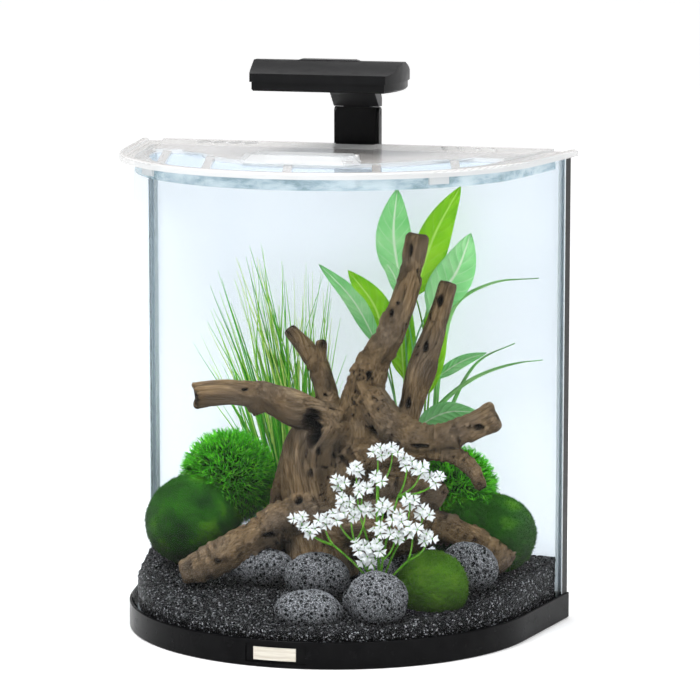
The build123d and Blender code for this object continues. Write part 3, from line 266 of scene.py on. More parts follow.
def dress(look, *names):
    """Give CAD nodes a finished material."""
    for name in names:
        for slot in nodes[name].material_slots:
            slot.material = look.material


# Share of the mirror seen head on and at a slant, and how late it comes in
GLASS_LEAST = 0.004
GLASS_MOST = 0.14
GLASS_POWER = 7.0


def pane(name, tint):
    """Clear sheet glass that passes light straight and mirrors at a slant, with faint wipe marks."""
    look = Look(name, (1.0, 1.0, 1.0), 0.03, Metallic=1.0)
    smears = look.noise(14.0, 5.0, vector=look.stretched((1.0, 1.0, 0.25)))
    look.set("Roughness", look.ramp(smears, (0.4, 0.02), (0.8, 0.07)))
    look.see_through(tint, GLASS_LEAST, GLASS_MOST, GLASS_POWER)
    return look


dress(pane("sheet_glass", (0.975, 0.988, 0.995)), "curved_glass")
dress(pane("back_sheet_glass", (0.985, 0.992, 0.998)), "back_glass")
dress(pane("floor_sheet_glass", (0.90, 0.96, 0.95)), "floor_glass")

black_base = moulded(
    "black_base", (0.003, 0.003, 0.0035), (0.006, 0.006, 0.0065), 0.24, Specular_IOR_Level=0.055
)
dress(black_base, "base_frame")

# The corner strips are black outside, and their glued sides, seen through the glass, are pale.
# Each strip's outward direction, and how far round from its glued side the pale runs.
STRIPS = (("left", (-0.7, 0.7, 0.0), 0.30), ("right", (0.7, 0.7, 0.0), 0.04))
GLUED_SIDE = (0.84, 0.89, 0.92)
for side, outward, pale_until in STRIPS:
    strip = moulded(
        "strip_" + side, (0.003, 0.003, 0.0035), (0.006, 0.006, 0.0065), 0.27, Specular_IOR_Level=0.12
    )
    facing = strip.node("ShaderNodeVectorMath", operation="DOT_PRODUCT")
    facing.inputs[1].default_value = outward
    strip.join(strip.node("ShaderNodeNewGeometry").outputs["True Normal"], facing.inputs[0])
    inside = strip.ramp(facing.outputs["Value"], (0.0, 1.0), (pale_until, 0.0))
    strip.cover(inside, GLUED_SIDE)
    dress(strip, "edge_trim_" + side)

foam = Look("foam_mat", (0.02, 0.02, 0.022), 0.9)
foam_cells = foam.cells(900.0)
foam.paint(foam_cells, (0.0, (0.008, 0.008, 0.01)), (0.7, (0.05, 0.05, 0.055)))
foam.bump(foam_cells, 0.0003)
dress(foam, "support_mat")

badge = Look("badge_metal", (0.72, 0.68, 0.6), 0.38, Metallic=0.35)
brushed = badge.noise(500.0, 6.0, vector=badge.stretched((0.06, 1.0, 1.0)))
badge.paint(brushed, (0.3, (0.60, 0.55, 0.46)), (0.7, (0.80, 0.76, 0.67)))
badge.bump(brushed, 0.00003)
dress(badge, "badge_plate")

sealant = Look("silicone_sealant", (0.72, 0.75, 0.76), 0.32)
sealant.paint(sealant.noise(70.0), (0.3, (0.62, 0.66, 0.68)), (0.75, (0.76, 0.79, 0.80)))
sealant.bump(sealant.noise(240.0, 3.0), 0.0003)
sealant.mixed_with_clear(0.45, (0.93, 0.96, 0.97))
dress(sealant, "floor_seal", "corner_seal_left", "corner_seal_right")

film = Look("pale_blue_film", (0.88, 0.94, 0.98), 0.6, Specular_IOR_Level=0.2)
# Slightly greyer upright bands on the film are painted reflections in the curved glass in front of it
painted_reflection_bands = film.noise(13.0, 1.5, 0.4, vector=film.stretched((1.0, 0.0, 0.02)))
film.set(
    "Base Color",
    film.ramp(painted_reflection_bands, (0.34, (0.78, 0.85, 0.91)), (0.47, (0.90, 0.94, 0.975)), (0.62, (0.93, 0.965, 0.99))),
)
film.bump(film.noise(40.0, 2.0), 0.0002)
film.mixed_with_clear(0.24, (0.948, 0.968, 0.992))
dress(film, "backing_film")

black_lamp = moulded(
    "black_lamp", (0.004, 0.004, 0.0045), (0.007, 0.007, 0.0075), 0.36, grain=2200.0, depth=0.00003,
    Specular_IOR_Level=0.16,
)
dress(black_lamp, "lamp_column", "column_cover", "lamp_lower_shell", "lamp_upper_shell")
dress(
    moulded("grey_neck", (0.013, 0.013, 0.014), (0.021, 0.021, 0.022), 0.42, Specular_IOR_Level=0.4),
    "lamp_neck",
)
dress(moulded("lamp_button_black", (0.008, 0.008, 0.009), (0.014, 0.014, 0.015), 0.3), "switch_button")
dress(moulded("grey_module", (0.10, 0.10, 0.11), (0.16, 0.16, 0.17), 0.5), "switch_module")
dress(
    moulded("pad_rubber", (0.012, 0.012, 0.012), (0.028, 0.028, 0.028), 0.75, 900.0, 0.00006),
    "clamp_pad", "cord_gland",
)

steel = Look("screw_steel", (0.62, 0.62, 0.63), 0.3, Metallic=1.0)
turned = steel.noise(900.0, 6.0, vector=steel.stretched((1.0, 1.0, 0.1)))
steel.paint(turned, (0.3, (0.46, 0.46, 0.47)), (0.7, (0.68, 0.68, 0.7)))
steel.set("Roughness", steel.ramp(turned, (0.3, 0.22), (0.7, 0.42)))
steel.bump(turned, 0.00001)
dress(steel, "cover_screws", "lamp_hinge_pin", "neck_screws", "shell_screws", "flap_pins")

aluminium = Look("sink_aluminium", (0.55, 0.56, 0.58), 0.4, Metallic=1.0)
drawn = aluminium.noise(700.0, 5.0, vector=aluminium.stretched((0.05, 1.0, 1.0)))
aluminium.paint(drawn, (0.3, (0.42, 0.43, 0.45)), (0.7, (0.62, 0.63, 0.65)))
aluminium.set("Roughness", aluminium.ramp(drawn, (0.3, 0.32), (0.7, 0.5)))
dress(aluminium, "heat_sink")

dress(moulded("board_white", (0.66, 0.68, 0.66), (0.76, 0.77, 0.75), 0.45), "led_board")
phosphor = Look("led_yellow", (0.75, 0.62, 0.14), 0.35)
phosphor.paint(phosphor.noise(900.0), (0.3, (0.70, 0.52, 0.08)), (0.7, (0.82, 0.72, 0.22)))
dress(phosphor, "led_chips")

frosted = Look("frosted_diffuser", (0.9, 0.91, 0.92), 0.4)
frosted.paint(frosted.noise(120.0), (0.3, (0.82, 0.84, 0.86)), (0.7, (0.93, 0.94, 0.95)))
frosted.bump(frosted.cells(700.0), 0.0001)
frosted.mixed_with_clear(0.75, (0.95, 0.97, 1.0))
dress(frosted, "lamp_diffuser")


# A face is all edge below the first of these and all flat above the second: 0 is upright, 1 is level
EDGE_LEVEL = 0.45
FLAT_LEVEL = 0.97
# The pale grey laid on edges and slopes is a painted highlight, the bright outline that light gives clear
# plastic there
EDGE_HIGHLIGHT = (0.80, 0.80, 0.80)


def clear_moulding(name, dark, light, flat_share, edge_share, tint, roughness=0.12):
    """Clear moulded plastic: see-through on its flats, less so along its edges and slopes, which carry a
    painted pale highlight.
    """
    look = Look(name, light, roughness, Specular_IOR_Level=0.22)
    look.bump(look.noise(60.0, 2.0), 0.0002)
    look.bump(look.noise(1200.0, 2.0), 0.000008)
    level = look.node("ShaderNodeSeparateXYZ")
    look.join(look.node("ShaderNodeNewGeometry").outputs["True Normal"], level.inputs[0])
    flatness = look.maths("ABSOLUTE", level.outputs["Z"])
    look.paint(look.noise(26.0, 4.0), (0.35, dark), (0.7, light))
    # Painted highlight along edges and slopes
    look.cover(look.ramp(flatness, (EDGE_LEVEL, 1.0), (FLAT_LEVEL, 0.0)), EDGE_HIGHLIGHT)
    look.mixed_with_clear(look.ramp(flatness, (EDGE_LEVEL, edge_share), (FLAT_LEVEL, flat_share)), tint)
    return look


# Node, material, dark and light body, share shown on flats and on edges, tint and roughness
CLEAR_PARTS = (
    (
        "lid_panel", "lid_clear", (0.43, 0.41, 0.395), (0.53, 0.51, 0.495), 0.55, 0.66,
        (0.975, 0.982, 0.986), 0.25,
    ),
    (
        "feeding_flap", "flap_clear", (0.50, 0.495, 0.49), (0.62, 0.62, 0.62), 0.22, 0.55,
        (0.97, 0.98, 0.985), 0.25,
    ),
    ("lid_clips", "clip_clear", (0.44, 0.46, 0.47), (0.56, 0.57, 0.58), 0.3, 0.5, (0.96, 0.98, 0.99), 0.12),
    (
        "lid_windows", "window_clear", (0.66, 0.76, 0.86), (0.80, 0.88, 0.95), 0.20, 0.4,
        (0.94, 0.97, 1.0), 0.12,
    ),
)
for node, *settings in CLEAR_PARTS:
    dress(clear_moulding(*settings), node)
skirt = clear_moulding("skirt_clear", (0.16, 0.27, 0.30), (0.72, 0.80, 0.84), 0.4, 0.5, (0.90, 0.95, 0.97))
patches = skirt.noise(38.0, 6.0, 0.65, vector=skirt.stretched((1.0, 1.0, 2.4)))
skirt.set(
    "Base Color",
    skirt.ramp(patches, (0.38, (0.24, 0.36, 0.40)), (0.50, (0.56, 0.67, 0.72)), (0.64, (0.82, 0.89, 0.92))),
)
dress(skirt, "lid_skirt")

# --- Mesh tools -----------------------------------------------------------------------------


def link_mesh(name, mesh, look):
    """Make an object of a finished mesh."""
    obj = bpy.data.objects.new(name, mesh)
    scene.collection.objects.link(obj)
    mesh.materials.clear()
    mesh.materials.append(look.material)
    return obj


def stand_in(name, mesh, look, node):
    """Make a piece that stands in the tank in the place of a CAD node."""
    obj = link_mesh(name, mesh, look)
    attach(obj, "tank")
    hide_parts(node)


def make_mesh(name, points, *face_sets):
    """A mesh from an array of points and arrays of faces with any number of corners."""
    mesh = bpy.data.meshes.new(name)
    mesh.vertices.add(len(points))
    mesh.vertices.foreach_set("co", np.asarray(points, np.float32).ravel())
    corners = np.concatenate([faces.ravel() for faces in face_sets]).astype(np.int32)
    sizes = np.concatenate([np.full(len(faces), faces.shape[1]) for faces in face_sets])
    starts = np.concatenate([[0], np.cumsum(sizes)[:-1]]).astype(np.int32)
    mesh.loops.add(len(corners))
    mesh.loops.foreach_set("vertex_index", corners)
    mesh.polygons.add(len(sizes))
    mesh.polygons.foreach_set("loop_start", starts)
    mesh.polygons.foreach_set("loop_total", sizes.astype(np.int32))
    mesh.update(calc_edges=True)
    mesh.validate()
    return mesh


def smooth(mesh):
    mesh.polygons.foreach_set("use_smooth", [True] * len(mesh.polygons))
    return mesh


def points_of(mesh):
    """A mesh's points and normals as arrays."""
    places = np.zeros(len(mesh.vertices) * 3, np.float32)
    normals = np.zeros(len(mesh.vertices) * 3, np.float32)
    mesh.vertices.foreach_get("co", places)
    mesh.vertices.foreach_get("normal", normals)
    return places.reshape(-1, 3).astype(float), normals.reshape(-1, 3).astype(float)


def move_points(mesh, places):
    mesh.vertices.foreach_set("co", places.astype(np.float32).ravel())
    mesh.update()


def tone(mesh, name, values):
    """Store a number per point for the material to read."""
    layer = mesh.attributes.new(name, "FLOAT", "POINT")
    layer.data.foreach_set("value", np.asarray(values, np.float32))


def remeshed(mesh, voxel, name):
    """A copy of a closed mesh rebuilt as one even skin."""
    carrier = bpy.data.objects.new("carrier", mesh)
    scene.collection.objects.link(carrier)
    modifier = carrier.modifiers.new("skin", "REMESH")
    modifier.mode = "VOXEL"
    modifier.voxel_size = voxel
    modifier.use_smooth_shade = True
    bpy.context.view_layer.update()
    even = bpy.data.meshes.new_from_object(carrier.evaluated_get(bpy.context.evaluated_depsgraph_get()))
    even.name = name
    bpy.data.objects.remove(carrier)
    return even


def ball(half_size, subdivisions, name):
    """An even ball of triangles, stretched to half_size."""
    shape = bmesh.new()
    bmesh.ops.create_icosphere(shape, subdivisions=subdivisions, radius=1.0)
    bmesh.ops.scale(shape, vec=half_size, verts=shape.verts)
    mesh = bpy.data.meshes.new(name)
    shape.to_mesh(mesh)
    shape.free()
    return smooth(mesh)


def field(places, scale, octaves, seed):
    """Smooth noise from -1 to 1 at each place, its features 1 / scale metres wide."""
    shift = Vector((seed, seed * 1.7, -seed))
    if octaves == 1:
        return np.array([noise.noise(Vector(place) * scale + shift) for place in places])
    return np.array([
        noise.fractal(Vector(place) * scale + shift, 0.6, 2.1, octaves) for place in places
    ])


def unit(vectors):
    return vectors / np.maximum(np.linalg.norm(vectors, axis=-1, keepdims=True), 1e-12)


def tube_faces(count, stations, sides):
    """The walls, start caps and end caps of closed tubes whose points run ring by ring."""
    index = np.arange(count * stations * sides).reshape(count, stations, sides)
    turned = np.roll(index, -1, axis=2)
    walls = np.stack([index[:, :-1], turned[:, :-1], turned[:, 1:], index[:, 1:]], -1).reshape(-1, 4)
    return walls, index[:, 0, ::-1], index[:, -1]


def tubes(paths, radii, sides, flat=1.0):
    """Closed tapered stems along (count, stations, 3) paths, their sections flattened by flat."""
    count, stations, _ = paths.shape
    ahead = unit(np.gradient(paths, axis=1))
    across = np.tile(np.array((0.13, -0.21, 1.0)), (count, 1))
    across[np.abs(ahead[:, 0, 2]) > 0.8] = (1.0, 0.2, 0.1)
    side = unit(np.cross(ahead, np.cross(across[:, None, :], ahead)))
    side = unit(np.cross(side, ahead))
    up = np.cross(side, ahead)
    angle = 2 * math.pi * np.arange(sides) / sides
    ring = (
        np.cos(angle)[None, None, :, None] * side[:, :, None, :]
        + flat * np.sin(angle)[None, None, :, None] * up[:, :, None, :]
    )
    points = (paths[:, :, None, :] + radii[:, :, None, None] * ring).reshape(-1, 3)
    return points, *tube_faces(count, stations, sides)


def merge(parts):
    """Join the point and face arrays of several shapes. Each is (points, faces, faces, ...)."""
    points, groups, base = [], {}, 0
    for part in parts:
        points.append(part[0])
        for faces in part[1:]:
            groups.setdefault(faces.shape[1], []).append(faces + base)
        base += len(part[0])
    return np.concatenate(points), *[np.concatenate(group) for group in groups.values()]


def centre_and_half(name):
    low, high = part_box(name)
    return np.array((low + high) / 2), np.array((high - low) / 2)


def triangles(mesh):
    """Areas, normals and corner places of a mesh's triangles."""
    mesh.calc_loop_triangles()
    corners = np.zeros(len(mesh.loop_triangles) * 3, np.int32)
    mesh.loop_triangles.foreach_get("vertices", corners)
    places, _ = points_of(mesh)
    shape = places[corners.reshape(-1, 3)]
    cross = np.cross(shape[:, 1] - shape[:, 0], shape[:, 2] - shape[:, 0])
    return np.linalg.norm(cross, axis=1) / 2, unit(cross), shape


def scatter(mesh, count, rng, wanted=None):
    """Random places on a mesh, with the normals there."""
    area, normal, shape = triangles(mesh)
    weight = area * (wanted(shape.mean(1), normal) if wanted else 1.0)
    chosen = rng.choice(len(area), count, p=weight / weight.sum())
    first, second = rng.random(count), rng.random(count)
    over = first + second > 1
    first[over], second[over] = 1 - first[over], 1 - second[over]
    picked = shape[chosen]
    places = (
        picked[:, 0]
        + first[:, None] * (picked[:, 1] - picked[:, 0])
        + second[:, None] * (picked[:, 2] - picked[:, 0])
    )
    return places, normal[chosen]


# --- Gravel ---------------------------------------------------------------------------------

GRAVEL_CELLS = 420.0
FLECK_AND_GLINT_CELLS = 900.0
BED_VOXEL = 2.4 * MM
# The bed's skin sinks by this and by up to this much more, so that the loose grains lie on it
BED_SINK = 0.3
BED_UNEVEN = 1.1
GRAIN_COUNT = 9000
GRAIN_RADIUS = 1.35 * MM
GRAIN_KNOCK = 0.28
LEVEL_GROUND = 0.5

gravel = Look("black_gravel", (0.02, 0.02, 0.02), 0.6, Specular_IOR_Level=0.10)
gravel.paint(
    gravel.cells(GRAVEL_CELLS, "Color"),
    (0.0, (0.002, 0.002, 0.0024)), (0.60, (0.004, 0.004, 0.0046)), (0.78, (0.014, 0.014, 0.015)),
    (0.90, (0.08, 0.08, 0.084)), (1.0, (0.45, 0.45, 0.46)),
)
# Pale flecks: partly white flecks in the stone, partly painted glints
flecks_and_glints = gravel.ramp(gravel.cells(FLECK_AND_GLINT_CELLS, "Color"), (0.80, 0.0), (0.90, 1.0))
gravel.cover(flecks_and_glints, (0.46, 0.46, 0.48))
gravel.bump(gravel.cells(GRAVEL_CELLS), 0.0006)
gravel.bump(gravel.noise(2500.0, 3.0), 0.0001)

bed_mesh = remeshed(nodes["gravel_bed"].data.copy(), BED_VOXEL, "gravel_bed_body")
places, normals = points_of(bed_mesh)
settle = 0.5 + 0.5 * field(places, 260.0, 1, 3.0)
move_points(bed_mesh, places - normals * (BED_SINK + BED_UNEVEN * settle[:, None]) * MM)
stand_in("gravel_bed_body", smooth(bed_mesh), gravel, "gravel_bed")


def gravel_share(places, normals):
    """How many grains lie there: more on the bed's sides, and none under it."""
    return np.where(normals[:, 2] > LEVEL_GROUND, 1.0, 1.6) * (normals[:, 2] > -0.3)


rng = np.random.default_rng(11)
places, normals = scatter(bed_mesh, GRAIN_COUNT, rng, gravel_share)
grain_shape = bmesh.new()
bmesh.ops.create_icosphere(grain_shape, subdivisions=1, radius=1.0)
grain_points = np.array([vertex.co[:] for vertex in grain_shape.verts])
grain_faces = np.array([[vertex.index for vertex in face.verts] for face in grain_shape.faces])
grain_shape.free()
knocked = 1 + rng.uniform(-GRAIN_KNOCK, GRAIN_KNOCK, (GRAIN_COUNT, len(grain_points), 1))
squashed = rng.uniform(0.55, 1.15, (GRAIN_COUNT, 1, 3))
spin, _ = np.linalg.qr(rng.normal(size=(GRAIN_COUNT, 3, 3)))
radius = GRAIN_RADIUS * rng.uniform(0.6, 1.35, (GRAIN_COUNT, 1, 1))
cloud = np.einsum("nij,nkj->nki", spin, grain_points[None] * knocked * squashed) * radius
raised = np.where(normals[:, 2:] > LEVEL_GROUND, 0.1, -0.35) * GRAIN_RADIUS
cloud = cloud + (places + normals * raised)[:, None, :]
faces = (grain_faces[None] + (np.arange(GRAIN_COUNT) * len(grain_points))[:, None, None]).reshape(-1, 3)
grains = make_mesh("gravel_grains", cloud.reshape(-1, 3), faces)
stand_in("gravel_grains", grains, gravel, "gravel_bed")

# --- Driftwood ------------------------------------------------------------------------------

# Limbs of the driftwood: x, y, z and radius in millimetres along each, close to the solid's own
LIMBS = [
    [(0, 24, 46, 38), (-4, 24, 75, 35), (-6, 24, 120, 32), (-4, 22, 166, 30), (14, 20, 200, 22)],
    [
        (16, 16, 190, 18), (-16, 6, 202, 16.5), (-43, -6, 216, 13.5), (-68, -16, 221, 12.5),
        (-106, -28, 218, 12.5),
    ],
    [(6, 22, 200, 14), (-5, 26, 237, 10), (-20, 29, 256, 8.5), (-36, 31, 273, 6.5)],
    [(-6, 26, 236, 7), (-3, 24, 265, 5)],
    [(35, 22, 176, 19), (35, 22, 211, 17.5), (44, 24, 245, 17), (60, 28, 275, 14), (78, 34, 326, 10.5)],
    [(74, 33, 316, 10.5), (78, 35, 336, 10), (82, 37, 362, 9.5)],
    [(70, 26, 180, 14), (80, 33, 216, 12), (89, 40, 252, 12), (98, 46, 284, 10.5), (107, 52, 318, 9.5)],
    [(42, 14, 222, 14), (64, 10, 195, 16), (93, 8, 183, 14), (120, 10, 186, 12), (160, 16, 204, 13.5)],
    [(59, 14, 165, 12), (92, 12, 170, 10), (120, 10, 170, 8.5), (139, 8, 158, 7.5), (151, 6, 140, 5)],
    [(8, 20, 128, 24), (34, 20, 160, 22), (62, 18, 172, 16), (92, 14, 178, 11)],
    [(24, 26, 128, 20), (58, 27, 139, 19), (90, 28, 134, 16), (108, 30, 122, 12)],
    [(-4, 16, 108, 28), (-36, 2, 101, 19), (-65, -10, 82, 16), (-94, -20, 65, 16), (-120, -26, 54, 12.5)],
    [(-30, 38, 170, 9), (-42, 38, 132, 11), (-46, 38, 95, 14), (-50, 38, 66, 16)],
    [(19, 22, 101, 32), (69, 28, 97, 24), (109, 36, 97, 17), (145, 46, 79, 13.5), (163, 50, 62, 12.5)],
]
# Hollows and knot holes in the wood: place, half width, half height and depth in millimetres
HOLLOWS = [
    ((-3, -8, 191), 9, 17, 15), ((-5, -10, 147), 5, 6, 5), ((-16, -8, 124), 4, 6, 4),
    ((15, -8, 129), 4, 9, 5), ((34, -4, 122), 3.5, 7, 4), ((63, 14, 294), 3, 4.5, 3),
    ((56, 20, 304), 2.5, 3.5, 3), ((148, 0, 197), 6, 3, 5), ((78, 24, 349), 3, 7, 4),
    ((3, -12, 169), 3, 5, 3), ((27, -6, 166), 3.5, 8, 4), ((50, 2, 188), 7, 5, 7),
    ((102, 38, 303), 3, 6, 3), ((-108, -40, 218), 9, 9, 5), ((-60, -28, 226), 3, 2, 2),
    ((96, -4, 178), 9, 2.5, 3), ((78, 20, 212), 3, 5, 3), ((-24, 16, 262), 2.5, 2, 2),
    ((-40, -16, 92), 8, 3, 3), ((12, 2, 214), 3, 9, 4), ((92, 30, 262), 2.5, 5, 2.5),
    ((-84, -30, 70), 6, 2.5, 2.5), ((60, 6, 112), 6, 3, 3), ((46, 6, 238), 2.5, 5, 2.5),
]
# Knobs that stand out of the wood: place, reach and height in millimetres
KNOBS = [
    ((-54, -14, 205), 9, 5), ((-108, -30, 208), 8, 3), ((-112, -28, 228), 7, 2.5), ((-44, 30, 80), 8, 3),
    ((154, 14, 214), 9, 2), ((126, 6, 178), 7, 2.5), ((-12, -8, 106), 9, 2.5), ((22, 0, 226), 8, 2.5),
]
FREE_LIMBS = LIMBS[1:9]
FIBRE_STRETCH = 0.05
# How fast the grain winds round an upright limb, in radians per metre
GRAIN_TWIST = 7.0
SWEEP_STEPS = 10
SWEEP_SIDES = 28
LEAST_LIMB = 3 * MM
LIMB_FILL = 0.95
LIMB_END_TAPERS = (0.8, 0.86)
# Swells of a limb's outline: height, how many round it, and how fast they turn along it
SWELLS = ((0.07, 2, 6.3), (0.06, 3, -3.5), (0.05, 5, 5.0), (0.05, 0, 9.0))
WOOD_VOXEL = 1.5 * MM
# Relief of the wood, in millimetres
BROAD_RELIEF = 2.5
MIDDLE_RELIEF = 1.1
NARROW_RELIEF = 0.40
LUMP_RELIEF = 0.8
CRACK_DEPTH = 1.2
PIT_DEPTH = 1.4
CRACK_WIDTH = 0.055
PIT_GATE = 0.50
PIT_SLOPE = 0.2
# Limbs thinner than this have less relief
FULL_RELIEF_RADIUS = 16 * MM
LEAST_HOLLOW_REACH = 6
BROKEN_END = 13 * MM
# The wood's painted shade: its plain level, how much raised and sunk relief lightens and darkens it, and
# how much shade is painted in cracks, pits and hollows
PLAIN_TONE = 0.58
RELIEF_TONE = 0.12
CRACK_TONE = 0.34
HOLLOW_TONE = 0.75


def hermite(part, first, first_slope, second, second_slope):
    """The cubic between two points with slopes, at the given part of the way."""
    return (
        (2 * part**3 - 3 * part**2 + 1) * first
        + (part**3 - 2 * part**2 + part) * first_slope
        + (3 * part**2 - 2 * part**3) * second
        + (part**3 - part**2) * second_slope
    )


def swept(stations, seed):
    """One limb as a knobbly ridged tube through its stations, with its middle line and radii."""
    rng = np.random.default_rng(seed)
    stations = np.array(stations, float) * MM
    count = len(stations)
    fine = np.linspace(0, count - 1, (count - 1) * SWEEP_STEPS + 1)
    tangent = np.gradient(stations, axis=0)
    low = np.minimum(fine.astype(int), count - 2)
    part = (fine - low)[:, None]
    curve = hermite(part, stations[low], tangent[low], stations[low + 1], tangent[low + 1])
    line, radius = curve[:, :3], np.maximum(curve[:, 3], LEAST_LIMB)
    ahead = unit(np.gradient(line, axis=0))
    side = unit(np.cross(ahead, np.array((0.05, 1.0, 0.1))))
    up = np.cross(side, ahead)
    angle = 2 * math.pi * np.arange(SWEEP_SIDES) / SWEEP_SIDES
    along = fine[:, None] / (count - 1)
    outline = np.ones((len(fine), SWEEP_SIDES))
    for height, lobes, winding in SWELLS:
        outline = outline + height * np.sin(lobes * angle[None] + winding * along + rng.uniform(0, 6))
    tapers = np.ones(len(fine))
    tapers[0], tapers[-1] = LIMB_END_TAPERS
    reach = radius[:, None] * outline * LIMB_FILL * tapers[:, None]
    points = (
        line[:, None] + reach[:, :, None] * (
            np.cos(angle)[None, :, None] * side[:, None] + np.sin(angle)[None, :, None] * up[:, None]
        )
    ).reshape(-1, 3)
    return (points, *tube_faces(1, len(fine), SWEEP_SIDES)), line, radius


limb_parts, limb_lines = [], []
for number, stations in enumerate(LIMBS):
    part, line, radius = swept(stations, 40 + number)
    limb_parts.append(part)
    limb_lines.append((line, radius))
wood_mesh = remeshed(make_mesh("wood_sweep", *merge(limb_parts)), WOOD_VOXEL, "driftwood_skin")
places, normals = points_of(wood_mesh)

# Each point's nearest limb, and where it is along that limb and round it
line_points = np.concatenate([line for line, _ in limb_lines])
line_radii = np.concatenate([radius for _, radius in limb_lines])
line_ahead = np.concatenate([unit(np.gradient(line, axis=0)) for line, _ in limb_lines])
line_along = np.concatenate([
    np.concatenate([[0], np.cumsum(np.linalg.norm(np.diff(line, axis=0), axis=1))]) + 0.7 * number
    for number, (line, _) in enumerate(limb_lines)
])
nearest = np.concatenate([
    np.argmin(np.linalg.norm(chunk[:, None] - line_points[None], axis=2) - line_radii[None], axis=1)
    for chunk in np.array_split(places, 40)
])
ahead = line_ahead[nearest]
offset = places - line_points[nearest]
along = line_along[nearest] + (offset * ahead).sum(1)
outward = offset - (offset * ahead).sum(1, keepdims=True) * ahead
twist = GRAIN_TWIST * along * ahead[:, 2] ** 2
ring_coordinates = np.column_stack([
    outward[:, 0] * np.cos(twist) - outward[:, 1] * np.sin(twist),
    outward[:, 0] * np.sin(twist) + outward[:, 1] * np.cos(twist),
    outward[:, 2],
])


def furrows(width, length, seed):
    """Noise that runs along the grain: width across it and length along it, in metres."""
    grain = ring_coordinates / width + ahead * (along / length)[:, None] + seed
    return np.array([noise.noise(Vector(place)) for place in grain])


broad = furrows(24 * MM, 150 * MM, 1.0)
middle = furrows(8 * MM, 110 * MM, 5.0)
narrow = furrows(2.8 * MM, 60 * MM, 9.0)
lumps = field(places, 38.0, 2, 2.0)
worn = np.clip(field(places, 17.0, 2, 4.0) * 2.0 + 0.1, 0, 1)
cracks = -np.clip(CRACK_WIDTH - np.abs(middle), 0, CRACK_WIDTH) / CRACK_WIDTH * worn
pits = -np.clip(field(places, 210.0, 1, 7.0) - PIT_GATE, 0, PIT_SLOPE) / PIT_SLOPE * (0.35 + worn)
thin = np.clip(line_radii[nearest] / FULL_RELIEF_RADIUS, 0.35, 1.0)
relief = (
    BROAD_RELIEF * broad + MIDDLE_RELIEF * middle + NARROW_RELIEF * narrow
    + LUMP_RELIEF * lumps + CRACK_DEPTH * cracks + PIT_DEPTH * pits
) * MM * thin
shade = relief / MM
hollow_shade = np.zeros(len(places))
for place, half_width, half_height, depth in HOLLOWS:
    size = np.array((half_width, max(half_width, LEAST_HOLLOW_REACH), half_height)) * MM
    reach = np.linalg.norm((places - np.array(place) * MM) / size, axis=1)
    ragged = reach + 0.22 * narrow + 0.12 * middle
    relief -= depth * MM * np.clip(1.15 - ragged**2, 0, 1)
    hollow_shade = np.maximum(hollow_shade, np.clip(1.55 - 1.25 * ragged, 0, 1))
for place, size, height in KNOBS:
    reach = np.linalg.norm(places - np.array(place) * MM, axis=1) / (size * MM)
    swell = np.clip(1 - reach**2, 0, 1)
    relief += height * MM * swell * (1 + 0.8 * field(places, 160.0, 2, 12.0))
move_points(wood_mesh, places + normals * relief[:, None])
ends = np.array([stations[-1][:3] for stations in FREE_LIMBS]) * MM
broken = np.clip(1.0 - np.linalg.norm(places[:, None] - ends[None], axis=2).min(1) / BROKEN_END, 0, 1)
# Painted shade and light: lighter on raised relief, darker in sunk relief, cracks, pits and hollows, and
# darker at the broken ends
relief_shade_tone = PLAIN_TONE + RELIEF_TONE * shade + CRACK_TONE * (cracks + pits) - HOLLOW_TONE * hollow_shade
relief_shade_tone -= broken * (0.35 + 0.5 * field(places, 240.0, 2, 5.0))
tone(wood_mesh, "painted_relief_shade", np.clip(relief_shade_tone, 0, 1))
# Painted light from above: lighter on faces that look up, darker on those that look down
tone(wood_mesh, "top", 0.5 + 0.5 * normals[:, 2])
tone(wood_mesh, "streak", np.clip(0.5 + 0.5 * narrow + 0.3 * middle, 0, 1))
grain = wood_mesh.attributes.new("grain", "FLOAT_VECTOR", "POINT")
fibres = ring_coordinates + ahead * (along * FIBRE_STRETCH)[:, None]
grain.data.foreach_set("vector", fibres.astype(np.float32).ravel())

wood = Look("weathered_wood", (0.16, 0.11, 0.075), 0.74, Specular_IOR_Level=0.1)
wood_grain = wood.attribute("grain", "Vector")
fibre = wood.noise(560.0, 5.0, 0.62, vector=wood_grain)
wood.paint(
    fibre, (0.30, (0.074, 0.043, 0.020)), (0.5, (0.175, 0.112, 0.056)), (0.72, (0.335, 0.230, 0.125))
)
wood_grey = wood.ramp(fibre, (0.30, (0.062, 0.042, 0.028)), (0.72, (0.225, 0.165, 0.110)))
wood.cover(wood.ramp(wood.noise(20.0, 5.0, 0.55), (0.42, 0.0), (0.60, 1.0)), wood_grey)
wood.shade(wood.attribute("streak"), (0.2, 0.72), (0.55, 1.0), (0.85, 1.18))
# Painted shade in hollows, cracks and pits, painted light on ridges, and painted light from above
wood.shade(wood.attribute("painted_relief_shade"), (0.04, 0.02), (0.26, 0.20), (0.50, 0.78), (0.80, 1.25))
wood.shade(wood.attribute("top"), (0.10, 0.42), (0.50, 1.02), (0.90, 1.20))
wood.bump(fibre, 0.0007)
wood.bump(wood.noise(900.0, 5.0, 0.6), 0.0003)
stand_in("driftwood_limbs", smooth(wood_mesh), wood, "driftwood")

# --- Lava stones ----------------------------------------------------------------------------

lava = Look("lava_rock", (0.12, 0.12, 0.125), 0.85, Specular_IOR_Level=0.1)
lava_fine = lava.noise(1000.0, 4.0, 0.7)
lava_pits = lava.cells(230.0)
lava.paint(lava.noise(55.0, 5.0), (0.32, (0.020, 0.021, 0.023)), (0.7, (0.066, 0.067, 0.072)))
lava.cover(lava.ramp(lava_fine, (0.48, 0.0), (0.62, 1.0)), (0.46, 0.46, 0.48))
lava.cover(lava.ramp(lava_fine, (0.36, 1.0), (0.46, 0.0)), (0.006, 0.006, 0.007))
